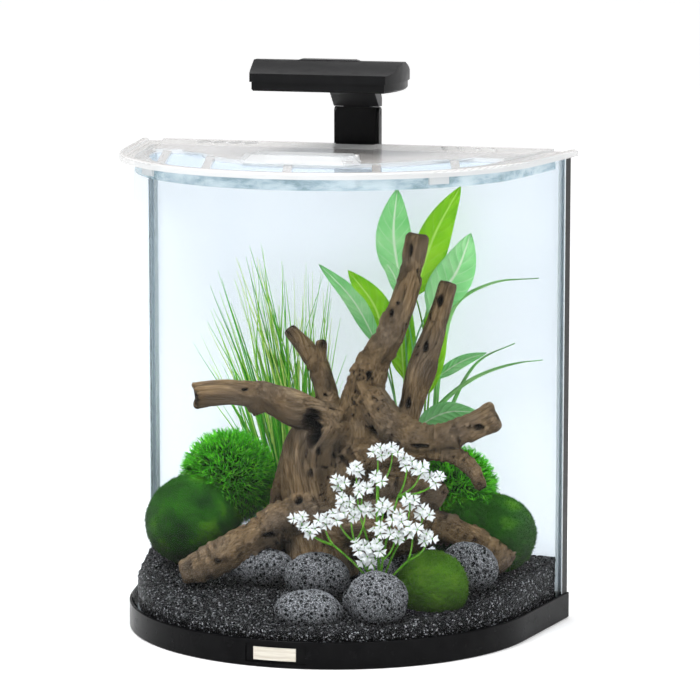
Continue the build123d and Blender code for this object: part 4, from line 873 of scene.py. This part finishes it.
# Painted shade in the pits, and painted light from above with the undersides darker
lava.shade(lava_pits, (0.24, 0.06), (0.44, 1.0))
lava.shade(lava.attribute("painted_relief_shade"), (0.15, 0.04), (0.6, 1.0))
lava.shade(lava.attribute("top"), (0.15, 0.35), (0.55, 0.85), (0.95, 1.25))
lava.bump(lava_pits, 0.0007)
lava.bump(lava_fine, 0.0005)

STONE_SHRINK = 0.965
STONE_LUMPS = 0.08
STONE_RIDGES = 0.9 * MM
STONE_BULGE = 0.03
FINE_PIT = 0.45
# Pits at least this deep are painted in full shade
PIT_SHADE_DEPTH = 0.9 * MM


def stone(name, seed, pit_size):
    """A rounded stone with pits of two sizes, the larger pit_size millimetres wide."""
    centre, half = centre_and_half(name)
    mesh = ball(half * STONE_SHRINK, 6, name + "_rock")
    places, normals = points_of(mesh)
    lumps = field(places, 22.0, 2, seed) * STONE_LUMPS * half.min()
    ridges = field(places, 75.0, 3, seed + 4) * STONE_RIDGES
    holes = np.zeros(len(places))
    for scale, gate in ((1 / (pit_size * MM), 0.42), (1 / (pit_size * FINE_PIT * MM), 0.5)):
        for row, place in enumerate(places):
            distances, cells = noise.voronoi(Vector(place) * scale + Vector((seed, 0, 0)))
            size = noise.noise(cells[0] * 3.7) * 0.5 + 0.5
            reach = distances[0] / (0.18 + gate * size * 0.5)
            holes[row] = min(holes[row], -max(0.0, 1 - reach * reach) * size / scale * 0.42)
    relief = lumps + ridges + holes
    places = places + normals * np.minimum(relief, half.min() * STONE_BULGE)[:, None]
    move_points(mesh, places + centre)
    # Painted shade in the pits, and painted light from above
    tone(mesh, "painted_relief_shade", np.clip(1 + holes / PIT_SHADE_DEPTH, 0, 1))
    tone(mesh, "top", 0.5 + 0.5 * normals[:, 2])
    stand_in(name + "_rock", mesh, lava, name)


# The width of each stone's larger pits in millimetres
PIT_SIZES = {
    "front": 5.0, "middle": 5.5, "left": 4.5, "right": 6.5, "behind": 4.0, "inner": 4.5, "small": 3.5,
}
for seed, (which, pit_size) in enumerate(PIT_SIZES.items(), 1):
    stone("lava_stone_" + which, seed, pit_size)

# --- Moss -----------------------------------------------------------------------------------


def green_look(name, deep, body, bright, roughness, scale, fine=700.0):
    """Leaf or moss green: broad patches and fine flecks."""
    look = Look(name, body, roughness, Specular_IOR_Level=0.12)
    look.paint(look.noise(scale, 5.0), (0.3, deep), (0.55, body), (0.75, bright))
    look.shade(look.noise(fine, 3.0, 0.7), (0.35, 0.55), (0.7, 1.25))
    look.bump(look.noise(fine * 1.5, 3.0), 0.0005)
    return look


moss_dark = green_look(
    "dark_moss", (0.005, 0.040, 0.002), (0.022, 0.130, 0.006), (0.120, 0.380, 0.012), 0.8, 34.0
)
# Painted light from above: the moss lighter on top, darker underneath
moss_dark.shade(moss_dark.attribute("top"), (0.25, 0.30), (0.85, 1.5))
moss_light = green_look(
    "light_moss", (0.034, 0.110, 0.006), (0.085, 0.215, 0.012), (0.155, 0.32, 0.024), 0.8, 30.0
)
# Painted light from above on the light moss too
moss_light.shade(moss_light.attribute("top"), (0.25, 0.35), (0.85, 1.5))
SHOOT_LENGTH = 2.4 * MM
SHOOT_RADII = np.array((0.34, 0.30, 0.06)) * MM
SHOOT_SINK = 0.3 * MM


def moss(name, look, seed, shoot_count=9000):
    """A cushion of moss: a lumpy body under short leaning shoots."""
    centre, half = centre_and_half(name)
    rng = np.random.default_rng(seed)
    mesh = ball(half - 0.9 * SHOOT_LENGTH, 6, name + "_cushion")
    places, normals = points_of(mesh)
    lumps = 0.035 * half.min() * field(places, 26.0, 2, seed)
    relief = np.minimum(lumps + 0.7 * MM * field(places, 300.0, 2, seed + 3), 0.3 * SHOOT_LENGTH)
    move_points(mesh, places + normals * relief[:, None] + centre)
    roots, facing = scatter(mesh, shoot_count, rng)
    lean = unit(facing + rng.normal(0, 0.45, facing.shape))
    reach = SHOOT_LENGTH * rng.uniform(0.5, 1.15, (shoot_count, 1))
    steps = np.array((0.0, 0.55, 1.0))[None, :, None]
    droop = rng.normal(0, 0.25, (shoot_count, 1, 3)) * reach[:, None] * steps**2
    paths = (roots - facing * SHOOT_SINK)[:, None] + lean[:, None] * reach[:, None] * steps + droop
    radii = np.tile(SHOOT_RADII, (shoot_count, 1)) * rng.uniform(0.7, 1.3, (shoot_count, 1))
    shoots = tubes(paths, radii, 3)
    corners = np.array([polygon.vertices[:] for polygon in mesh.polygons])
    body, body_facing = points_of(mesh)
    joined = make_mesh(name + "_moss", *merge([(body, corners), shoots]))
    # Painted light from above: the body and each shoot lighter where they face up
    shoot_top = np.repeat(0.5 + 0.5 * facing[:, 2], len(shoots[0]) // shoot_count)
    tone(joined, "top", np.concatenate([0.5 + 0.5 * body_facing[:, 2], shoot_top]))
    stand_in(name + "_moss", smooth(joined), look, name)


moss("moss_stone", moss_light, 21)
moss("moss_ball_left", moss_dark, 22, 12000)
moss("moss_mound_right", moss_dark, 23, 11000)
moss("moss_mound_middle", moss_dark, 24)

# --- Grass balls ----------------------------------------------------------------------------

# Each grass ball's centre and radius in millimetres
BALLS = {"grass_ball_left": ((-106, 70, 126), 48), "grass_ball_right": ((106, 76, 124), 44)}
BALL_BLADES = 5200
BALL_CORE = 0.70
BLADE_START = (0.52, 0.78)
BLADE_REACH = (0.20, 0.42)
BALL_LIMIT = 0.995
BLADE_RADII = np.array((0.6, 1.0, 0.75, 0.08)) * MM
# Blades deeper in the ball than this share of its radius are painted in shade
BALL_SHADE_DEPTH = 0.62
ball_grass = green_look(
    "ball_grass", (0.020, 0.24, 0.006), (0.105, 0.62, 0.016), (0.32, 0.92, 0.06), 0.5, 150.0, 500.0
)
# Painted shade deep in the ball and painted light on its upper outside
ball_grass.shade(ball_grass.attribute("top"), (0.12, 0.10), (0.75, 1.6))
for name, (place, size) in BALLS.items():
    rng = np.random.default_rng(61 + size)
    centre, radius = np.array(place) * MM, size * MM
    core = ball((radius * BALL_CORE,) * 3, 4, name + "_core")
    body, _ = points_of(core)
    corners = np.array([polygon.vertices[:] for polygon in core.polygons])
    facing = unit(rng.normal(size=(BALL_BLADES, 3)))
    lean = unit(facing + rng.normal(0, 0.35, facing.shape))
    start = centre + facing * radius * rng.uniform(*BLADE_START, (BALL_BLADES, 1))
    room = radius * 0.99 - np.linalg.norm(start - centre, axis=1)[:, None]
    reach = np.minimum(rng.uniform(*BLADE_REACH, (BALL_BLADES, 1)) * radius, room)
    steps = np.linspace(0, 1, 4)[None, :, None]
    curl = rng.normal(0, 0.22, (BALL_BLADES, 1, 3)) * reach[:, None] * steps**2
    paths = start[:, None] + lean[:, None] * reach[:, None] * steps + curl
    out = np.linalg.norm(paths - centre, axis=2, keepdims=True)
    paths = centre + (paths - centre) * np.minimum(1, BALL_LIMIT * radius / out)
    radii = np.tile(BLADE_RADII, (BALL_BLADES, 1)) * rng.uniform(0.7, 1.3, (BALL_BLADES, 1))
    blades = tubes(paths, radii, 3, 0.5)
    joined = make_mesh(name + "_leaves", *merge([(body + centre, corners), blades]))
    # Painted shade: the core and the inner blades dark, the outer blades lighter, most on top
    depth = np.linalg.norm(blades[0] - centre, axis=1) / radius
    outer = np.clip((depth - BALL_SHADE_DEPTH) / (1 - BALL_SHADE_DEPTH), 0, 1)
    upward = 0.5 + 0.5 * unit(blades[0] - centre)[:, 2]
    tone(joined, "top", np.concatenate([np.full(len(body), 0.1), outer * (0.45 + 0.55 * upward)]))
    stand_in(name + "_leaves", joined, ball_grass, name)

# --- Grass clump and ribbon plant -----------------------------------------------------------

CLUMP_BLADES = 165
CLUMP_STEPS = 14
CLUMP_ROOT = np.array((-0.048, 0.098, 0.052))
CLUMP_ROOT_SPREAD = 0.040
CLUMP_DEPTHS = (0.090, 0.106)
# Blades end up to this far below the top of the clump, and lower still towards its sides
TIP_DROP = 0.170
SIDE_DROP = 0.07
TIP_MARGIN = 0.002
TOP_MARGIN = 0.003
CLUMP_BLADE_RADIUS = 2.3 * MM

thin_grass = Look("thin_grass", (0.28, 0.6, 0.12), 0.45, Specular_IOR_Level=0.12)
thin_grass.paint(
    thin_grass.attribute("shade"), (0.0, (0.03, 0.30, 0.02)), (0.30, (0.13, 0.62, 0.035)),
    (0.65, (0.40, 0.84, 0.09)), (1.0, (0.76, 0.95, 0.26)),
)
thin_grass.shade(thin_grass.noise(300.0, 3.0), (0.3, 0.85), (0.7, 1.15))
thin_grass.bump(thin_grass.noise(900.0, 3.0), 0.0003)
low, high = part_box("grass_clump")
rng = np.random.default_rng(91)
spread = rng.beta(1.15, 1.15, CLUMP_BLADES)
tip_x = low.x + TIP_MARGIN + spread * (high.x - low.x - 2 * TIP_MARGIN)
tip_z = (
    high.z - TOP_MARGIN - rng.beta(1.1, 2.0, CLUMP_BLADES) * TIP_DROP
    - SIDE_DROP * np.abs(2 * spread - 1) ** 3
)
tip_y = rng.uniform(*CLUMP_DEPTHS, CLUMP_BLADES)
start = CLUMP_ROOT + np.column_stack([
    (spread - 0.5) * CLUMP_ROOT_SPREAD + rng.normal(0, 0.003, CLUMP_BLADES),
    rng.uniform(-0.006, 0.006, CLUMP_BLADES), np.zeros(CLUMP_BLADES),
])
tips = np.column_stack([tip_x, tip_y, tip_z])
steps = np.linspace(0, 1, CLUMP_STEPS)
bow = (tips[:, 0] - CLUMP_ROOT[0]) * -0.16 + rng.normal(0, 0.004, CLUMP_BLADES)
sway = rng.normal(0, 0.0045, CLUMP_BLADES)
paths = start[:, None] + (tips - start)[:, None] * steps[None, :, None]
paths[:, :, 0] += bow[:, None] * np.sin(np.pi * steps)
paths[:, :, 0] += sway[:, None] * np.sin(2.2 * np.pi * steps + 1.0) * steps
taper = np.interp(steps, (0, 0.15, 0.6, 1), (0.9, 1.0, 0.75, 0.12))
blade_size = rng.uniform(0.65, 1.25, (CLUMP_BLADES, 1))
radii = CLUMP_BLADE_RADIUS * taper[None] * blade_size
clump_mesh = make_mesh("grass_clump_blades", *tubes(paths, radii, 4, 0.45))
shades = np.clip(rng.beta(1.3, 1.5, CLUMP_BLADES)[:, None] + 0.25 * steps[None] - 0.1, 0, 1)
tone(clump_mesh, "shade", np.repeat(shades, 4))
stand_in("grass_clump_blades", smooth(clump_mesh), thin_grass, "grass_clump")


def curve_through(stops, rows):
    """An even smooth line through the stops."""
    stops = np.array(stops, float)
    length = np.concatenate([[0], np.cumsum(np.linalg.norm(np.diff(stops, axis=0), axis=1))])
    way = np.linspace(0, length[-1], rows)
    slope = np.gradient(stops, length, axis=0)
    low = np.clip(np.searchsorted(length, way, "right") - 1, 0, len(stops) - 2)
    gap = (length[low + 1] - length[low])[:, None]
    part = (way - length[low])[:, None] / gap
    return hermite(part, stops[low], slope[low] * gap, stops[low + 1], slope[low + 1] * gap)


STEM_HALF = 1.15 * MM
LEAF_WAVES = 30.0
LEAF_THICKNESS = 0.35 * MM
MIDRIB_THICKNESS = 0.7 * MM
MIDRIB_WIDTH = 0.16


def leaf_sheet(stops, half_width, fold, wave, rng, turn, blade_from, columns=11, rows=60):
    """A leaf on its stem along stops in millimetres, with how far across and along it each point is."""
    line = curve_through(np.array(stops, float) * MM, rows)
    ahead = unit(np.gradient(line, axis=0))
    facing = np.array((math.sin(turn), -math.cos(turn), 0.15))
    side = unit(np.cross(ahead, facing))
    front = np.cross(side, ahead)
    along = np.linspace(0, 1, rows)
    blade = np.clip((along - blade_from) / (1 - blade_from), 0, 1)
    shape = np.sin(np.pi * blade**0.82) ** 0.72 * (1 - 0.22 * blade)
    width = np.maximum(half_width * MM * shape / shape.max(), STEM_HALF * (1 - 0.6 * along))
    across = np.linspace(-1, 1, columns)
    edge = np.abs(across[None]) ** 2
    ripple = wave * MM * np.sin(LEAF_WAVES * along[:, None] + 3 * across[None] + rng.uniform(0, 6)) * edge
    lift = fold * width[:, None] * np.abs(across[None]) + ripple * np.minimum(blade * 4, 1)[:, None]
    points = (
        line[:, None] + width[:, None, None] * across[None, :, None] * side[:, None]
        - lift[:, :, None] * front[:, None]
    )
    midrib = MIDRIB_THICKNESS * np.exp(-(across / MIDRIB_WIDTH) ** 2)[None, :, None]
    thick = LEAF_THICKNESS + midrib * (1 - 0.7 * along[:, None, None])
    top, under = points + front[:, None] * thick, points - front[:, None] * thick
    both = np.concatenate([top.reshape(-1, 3), under.reshape(-1, 3)])
    index = np.arange(rows * columns).reshape(rows, columns)
    face = np.stack([index[:-1, :-1], index[:-1, 1:], index[1:, 1:], index[1:, :-1]], -1).reshape(-1, 4)
    rim = np.concatenate([index[0], index[1:, -1], index[-1, -2::-1], index[-2:0:-1, 0]])
    following = np.roll(rim, -1)
    size = rows * columns
    walls = np.stack([following, rim, rim + size, following + size], -1)
    faces = np.concatenate([face[:, ::-1], face + size, walls[:, ::-1]])
    return both, faces, np.tile(across, 2 * rows), np.tile(np.repeat(blade, columns), 2)


def leaf_piece(name, replaced, look, leaves):
    """Join leaves into one piece and store where each point is on its leaf."""
    mesh = make_mesh(name, *merge([(points, faces) for points, faces, _, _ in leaves]))
    tone(mesh, "across", np.concatenate([across for _, _, across, _ in leaves]))
    # each leaf's own stretch of the scale keeps its veins from repeating its neighbour's
    tone(mesh, "along", np.concatenate([leaf[3] + 2 * number for number, leaf in enumerate(leaves)]))
    stand_in(name, smooth(mesh), look, replaced)


VEINS = 24.0
VEIN_SLANT = 5.0


def leaf_look(name, deep, body, bright, vein):
    """Leaf green with a pale midrib, slanting veins and a faint sheen."""
    look = Look(name, body, 0.42, Specular_IOR_Level=0.18)
    out = look.maths("ABSOLUTE", look.attribute("across"))
    rows = look.maths("MULTIPLY", look.attribute("along"), VEINS)
    slant = look.maths("SUBTRACT", rows, look.maths("MULTIPLY", out, VEIN_SLANT))
    comb = look.maths("ABSOLUTE", look.maths("SINE", slant))
    look.paint(look.noise(38.0, 4.0), (0.3, deep), (0.55, body), (0.8, bright))
    look.cover(look.ramp(comb, (0.0, 0.55), (0.16, 0.0)), vein)
    look.cover(look.ramp(out, (0.03, 1.0), (0.10, 0.0)), vein)
    look.bump(comb, 0.0006)
    look.bump(look.noise(600.0, 4.0), 0.00015)
    return look


bright_green = leaf_look(
    "bright_leaf", (0.17, 0.58, 0.006), (0.30, 0.76, 0.015), (0.46, 0.90, 0.05), (0.56, 0.92, 0.16)
)
mint_green = leaf_look(
    "mint_leaf", (0.19, 0.68, 0.19), (0.31, 0.80, 0.29), (0.50, 0.91, 0.44), (0.74, 0.96, 0.66)
)
rng = np.random.default_rng(17)
LEAF_ROOT = (62, 98, 50)
LEAF_WAVE = 0.9
# Each leaf: where its blade starts, its middle and its tip, half width, its fold and its turn to the side
BRIGHT_LEAVES = [
    ((64, 99, 298), (81, 99, 352), (106, 98, 399), 17, 0.10, -0.2),
    ((36, 100, 246), (26, 98, 286), (1, 96, 319), 14, 0.16, 0.1),
    ((54, 102, 318), (42, 100, 340), (27, 98, 350), 4, 0.2, 0.0),
    ((52, 103, 222), (50, 103, 264), (54, 102, 301), 13, 0.12, 0.2),
    ((78, 96, 210), (82, 97, 262), (84, 97, 318), 12, 0.12, -0.1),
]
MINT_LEAVES = [
    ((50, 97, 310), (44, 96, 354), (48, 94, 396), 17, 0.10, 0.2),
    ((78, 95, 286), (104, 93, 322), (118, 90, 358), 18, 0.12, 0.3),
    ((28, 97, 252), (6, 95, 292), (-26, 94, 324), 9, 0.16, 0.0),
    ((52, 95, 296), (44, 95, 318), (32, 96, 333), 7, 0.16, 0.0),
    ((70, 89, 178), (98, 84, 194), (128, 81, 196), 10, 0.14, 0.3),
    ((84, 101, 222), (110, 100, 240), (131, 98, 248), 6, 0.16, 0.1),
]


def leaf_of(row):
    """One leaf with its stem from the plant's root."""
    foot, middle, tip, half_width, fold, turn = row
    stem = math.dist(LEAF_ROOT, foot)
    blade = math.dist(foot, middle) + math.dist(middle, tip)
    stops = (LEAF_ROOT, foot, middle, tip)
    return leaf_sheet(stops, half_width, fold, LEAF_WAVE, rng, turn, stem / (stem + blade))


bright_leaves = [leaf_of(row) for row in BRIGHT_LEAVES]
leaf_piece("bright_leaf_blades", "broad_leaf_plant", bright_green, bright_leaves)
mint_leaves = [leaf_of(row) for row in MINT_LEAVES]
leaf_piece("mint_leaf_blades", "broad_leaf_plant", mint_green, mint_leaves)

ribbon_green = leaf_look(
    "ribbon_leaf", (0.20, 0.66, 0.14), (0.34, 0.80, 0.24), (0.52, 0.90, 0.38), (0.68, 0.94, 0.52)
)
# Each ribbon: its stops, half width and turn
RIBBONS = [
    (((88, 110, 57), (87, 106, 240), (104, 103, 294), (136, 101, 312), (179, 99, 318)), 2.6, 0.3),
    (((88, 110, 57), (81, 104, 190), (116, 99, 222), (160, 97, 240), (184, 96, 244)), 2.5, 0.4),
    (((88, 110, 57), (98, 108, 200), (122, 106, 239), (156, 104, 257)), 2.2, -0.1),
]
leaf_piece(
    "ribbon_blades", "ribbon_plant", ribbon_green,
    [leaf_sheet(stops, half, 0.2, 0.3, rng, turn, 0.05, 5, 50) for stops, half, turn in RIBBONS],
)

# --- Flowers --------------------------------------------------------------------------------

FLOWER_ROOT = np.array((70, -48, 42)) * MM
# Where each flower stem branches, and the heads above that branch, in millimetres
FLOWERS = [
    ((70, -50, 146), [(70, -50, 180), (84, -52, 182)]),
    ((88, -50, 140), [(97, -50, 172), (109, -51, 166), (122, -50, 158)]),
    ((54, -52, 122), [(36, -52, 151), (50, -50, 163), (56, -53, 147), (41, -54, 135)]),
    ((30, -52, 94), [(-2, -50, 115), (9, -54, 107), (21, -50, 116)]),
    ((50, -54, 98), [(34, -54, 122), (47, -56, 125), (60, -54, 128)]),
    ((70, -54, 112), [(70, -54, 156), (77, -56, 132)]),
    ((90, -52, 100), [(90, -54, 122), (100, -52, 138), (112, -50, 128)]),
    ((76, -56, 84), [(73, -58, 112), (88, -56, 108)]),
    ((98, -52, 84), [(103, -56, 114), (116, -52, 106)]),
    ((62, -54, 72), [(71, -58, 96), (56, -56, 96), (62, -56, 84)]),
]
FLORETS = 3
FLORET_SPREAD = (3.6, 5.6)
FLORET_DEPTHS = (-3.5, 1.0)
FLORET_VIEW = np.array((0.10, -0.70, 0.55))
HEART_LENGTH = 0.9 * MM
STEM_STEPS = 9
PETALS = 5
PETAL_REACH = (5.4, 6.8)
PETAL_TILT = (0.02, 0.28)
PETAL_HALF_THICKNESS = 0.16 * MM
# A petal's outline with its notched tip: along it, across it and how much of its tilt is reached
PETAL = (
    (0, 0, 0), (0.62, 0.33, 0.5), (0.96, 0.42, 1), (0.80, 0, 0.6), (0.96, -0.42, 1), (0.62, -0.33, 0.5),
)


def bent_stems(starts, ends, lean):
    """Paths from starts to ends that bow to the side by lean."""
    steps = np.linspace(0, 1, STEM_STEPS)[None, :, None]
    return starts[:, None] + (ends - starts)[:, None] * steps + lean[:, None] * np.sin(np.pi * steps)


def even_tubes(paths, first, last, sides):
    """Tubes along paths, their radii in millimetres running from first to last."""
    return tubes(paths, np.tile(np.linspace(first, last, paths.shape[1]) * MM, (len(paths), 1)), sides)


rng = np.random.default_rng(33)
heads = np.array([head for _, above in FLOWERS for head in above]) * MM
forks = np.array([fork for fork, _ in FLOWERS]) * MM
head_forks = np.array([fork for fork, above in FLOWERS for _ in above]) * MM
starts = FLOWER_ROOT + rng.normal(0, 0.0012, forks.shape) * np.array((1, 1, 0))
stem_lean = np.zeros(forks.shape)
stem_lean[:, 0] = (forks[:, 0] - FLOWER_ROOT[0]) * -0.20
stem_lean[:, 1] = rng.normal(0, 0.002, len(forks))
twig_lean = np.full(heads.shape, -0.0015)
twig_lean[:, 0] = (heads[:, 0] - head_forks[:, 0]) * 0.22
twig_lean[:, 1] = rng.normal(0, 0.001, len(heads))
turn = 2 * math.pi * (np.arange(FLORETS) / FLORETS + rng.uniform(0, 1, (len(heads), 1)))
spread = rng.uniform(*FLORET_SPREAD, (len(heads), FLORETS))
depth = rng.uniform(*FLORET_DEPTHS, spread.shape)
offset = np.stack([spread * np.cos(turn), depth, 0.75 * spread * np.sin(turn)], 2)
centres = heads[:, None] + offset * MM
facing = unit(unit(offset) * 0.50 + rng.normal(0, 0.18, offset.shape) + FLORET_VIEW)
stalks = np.stack([np.repeat(heads[:, None], FLORETS, 1), centres], 2).reshape(-1, 2, 3)
hearts = np.stack([centres, centres + facing * HEART_LENGTH], 2).reshape(-1, 2, 3)
green_parts = merge([
    even_tubes(bent_stems(starts, forks, stem_lean), 1.25, 0.95, 6),
    even_tubes(bent_stems(head_forks, heads, twig_lean), 0.95, 0.65, 6),
    even_tubes(stalks, 0.5, 0.4, 3),
    even_tubes(hearts, 0.9, 0.5, 6),
])
stem_green = green_look(
    "flower_stem", (0.08, 0.28, 0.015), (0.15, 0.42, 0.03), (0.27, 0.56, 0.07), 0.45, 60.0, 300.0
)
stem_mesh = smooth(make_mesh("flower_stems", *green_parts))
stand_in("flower_stems", stem_mesh, stem_green, "flower_plant")

centres = centres.reshape(-1, 3)
facing = facing.reshape(-1, 3)
side = unit(np.cross(facing, rng.normal(size=facing.shape)))
up = np.cross(facing, side)
petals = []
for petal in range(PETALS):
    angle = 2 * math.pi * petal / PETALS + rng.uniform(-0.2, 0.2, (len(centres), 1))
    way = np.cos(angle) * side + np.sin(angle) * up
    wide = np.cross(facing, way)
    reach = rng.uniform(*PETAL_REACH, (len(centres), 1)) * MM
    tilt = facing * rng.uniform(*PETAL_TILT, (len(centres), 1)) * reach
    outline = np.stack([
        centres + way * reach * out + wide * reach * across + tilt * raised for out, across, raised in PETAL
    ], 1)
    lift = facing[:, None] * PETAL_HALF_THICKNESS
    petals.append(np.stack([outline + lift, outline - lift], 1))
cloud = np.stack(petals, 1).reshape(-1, 3)
corners = len(PETAL)
top = np.arange(corners)
walls = np.array([(k, k + corners, (k + 1) % corners + corners, (k + 1) % corners) for k in top])
base = (np.arange(len(centres) * PETALS) * 2 * corners)[:, None]
petal_mesh = make_mesh(
    "flower_petals", cloud, top + base, top[::-1] + corners + base,
    (walls[None] + base[:, :, None]).reshape(-1, 4),
)
white = Look("white_petal", (0.86, 0.87, 0.88), 0.5)
white.paint(white.noise(500.0, 3.0), (0.3, (0.92, 0.93, 0.94)), (0.6, (0.985, 0.985, 0.985)))
white.bump(white.noise(1800.0, 2.0), 0.0001)
stand_in("flower_petals", petal_mesh, white, "flower_plant")

# --- Floor ----------------------------------------------------------------------------------

FLOOR_REACH = 60.0
# The floor glows more and more up to this distance, so that it fades into the white backdrop
FLOOR_GLOW_REACH = 3.0
FLOOR_GAP = 0.2 * MM
floor_shape = bmesh.new()
bmesh.ops.create_grid(floor_shape, x_segments=8, y_segments=8, size=FLOOR_REACH)
floor_mesh = bpy.data.meshes.new("studio_floor")
floor_shape.to_mesh(floor_mesh)
floor_shape.free()
paper = Look("white_paper", (0.93, 0.93, 0.93), 0.9, Specular_IOR_Level=0.1)
paper.shader.inputs["Emission Strength"].default_value = 1.0
distance = paper.node("ShaderNodeVectorMath", operation="LENGTH")
paper.join(paper.coordinates, distance.inputs[0])
far = paper.maths("DIVIDE", distance.outputs["Value"], FLOOR_GLOW_REACH)
paper.set("Emission Color", paper.ramp(far, (0.15, 0.16), (1.0, 0.66)))
paper.paint(paper.noise(3.0, 2.0), (0.3, (0.925, 0.925, 0.93)), (0.7, (0.94, 0.94, 0.94)))
floor = link_mesh("studio_floor", floor_mesh, paper)
floor.location.z = -FLOOR_GAP
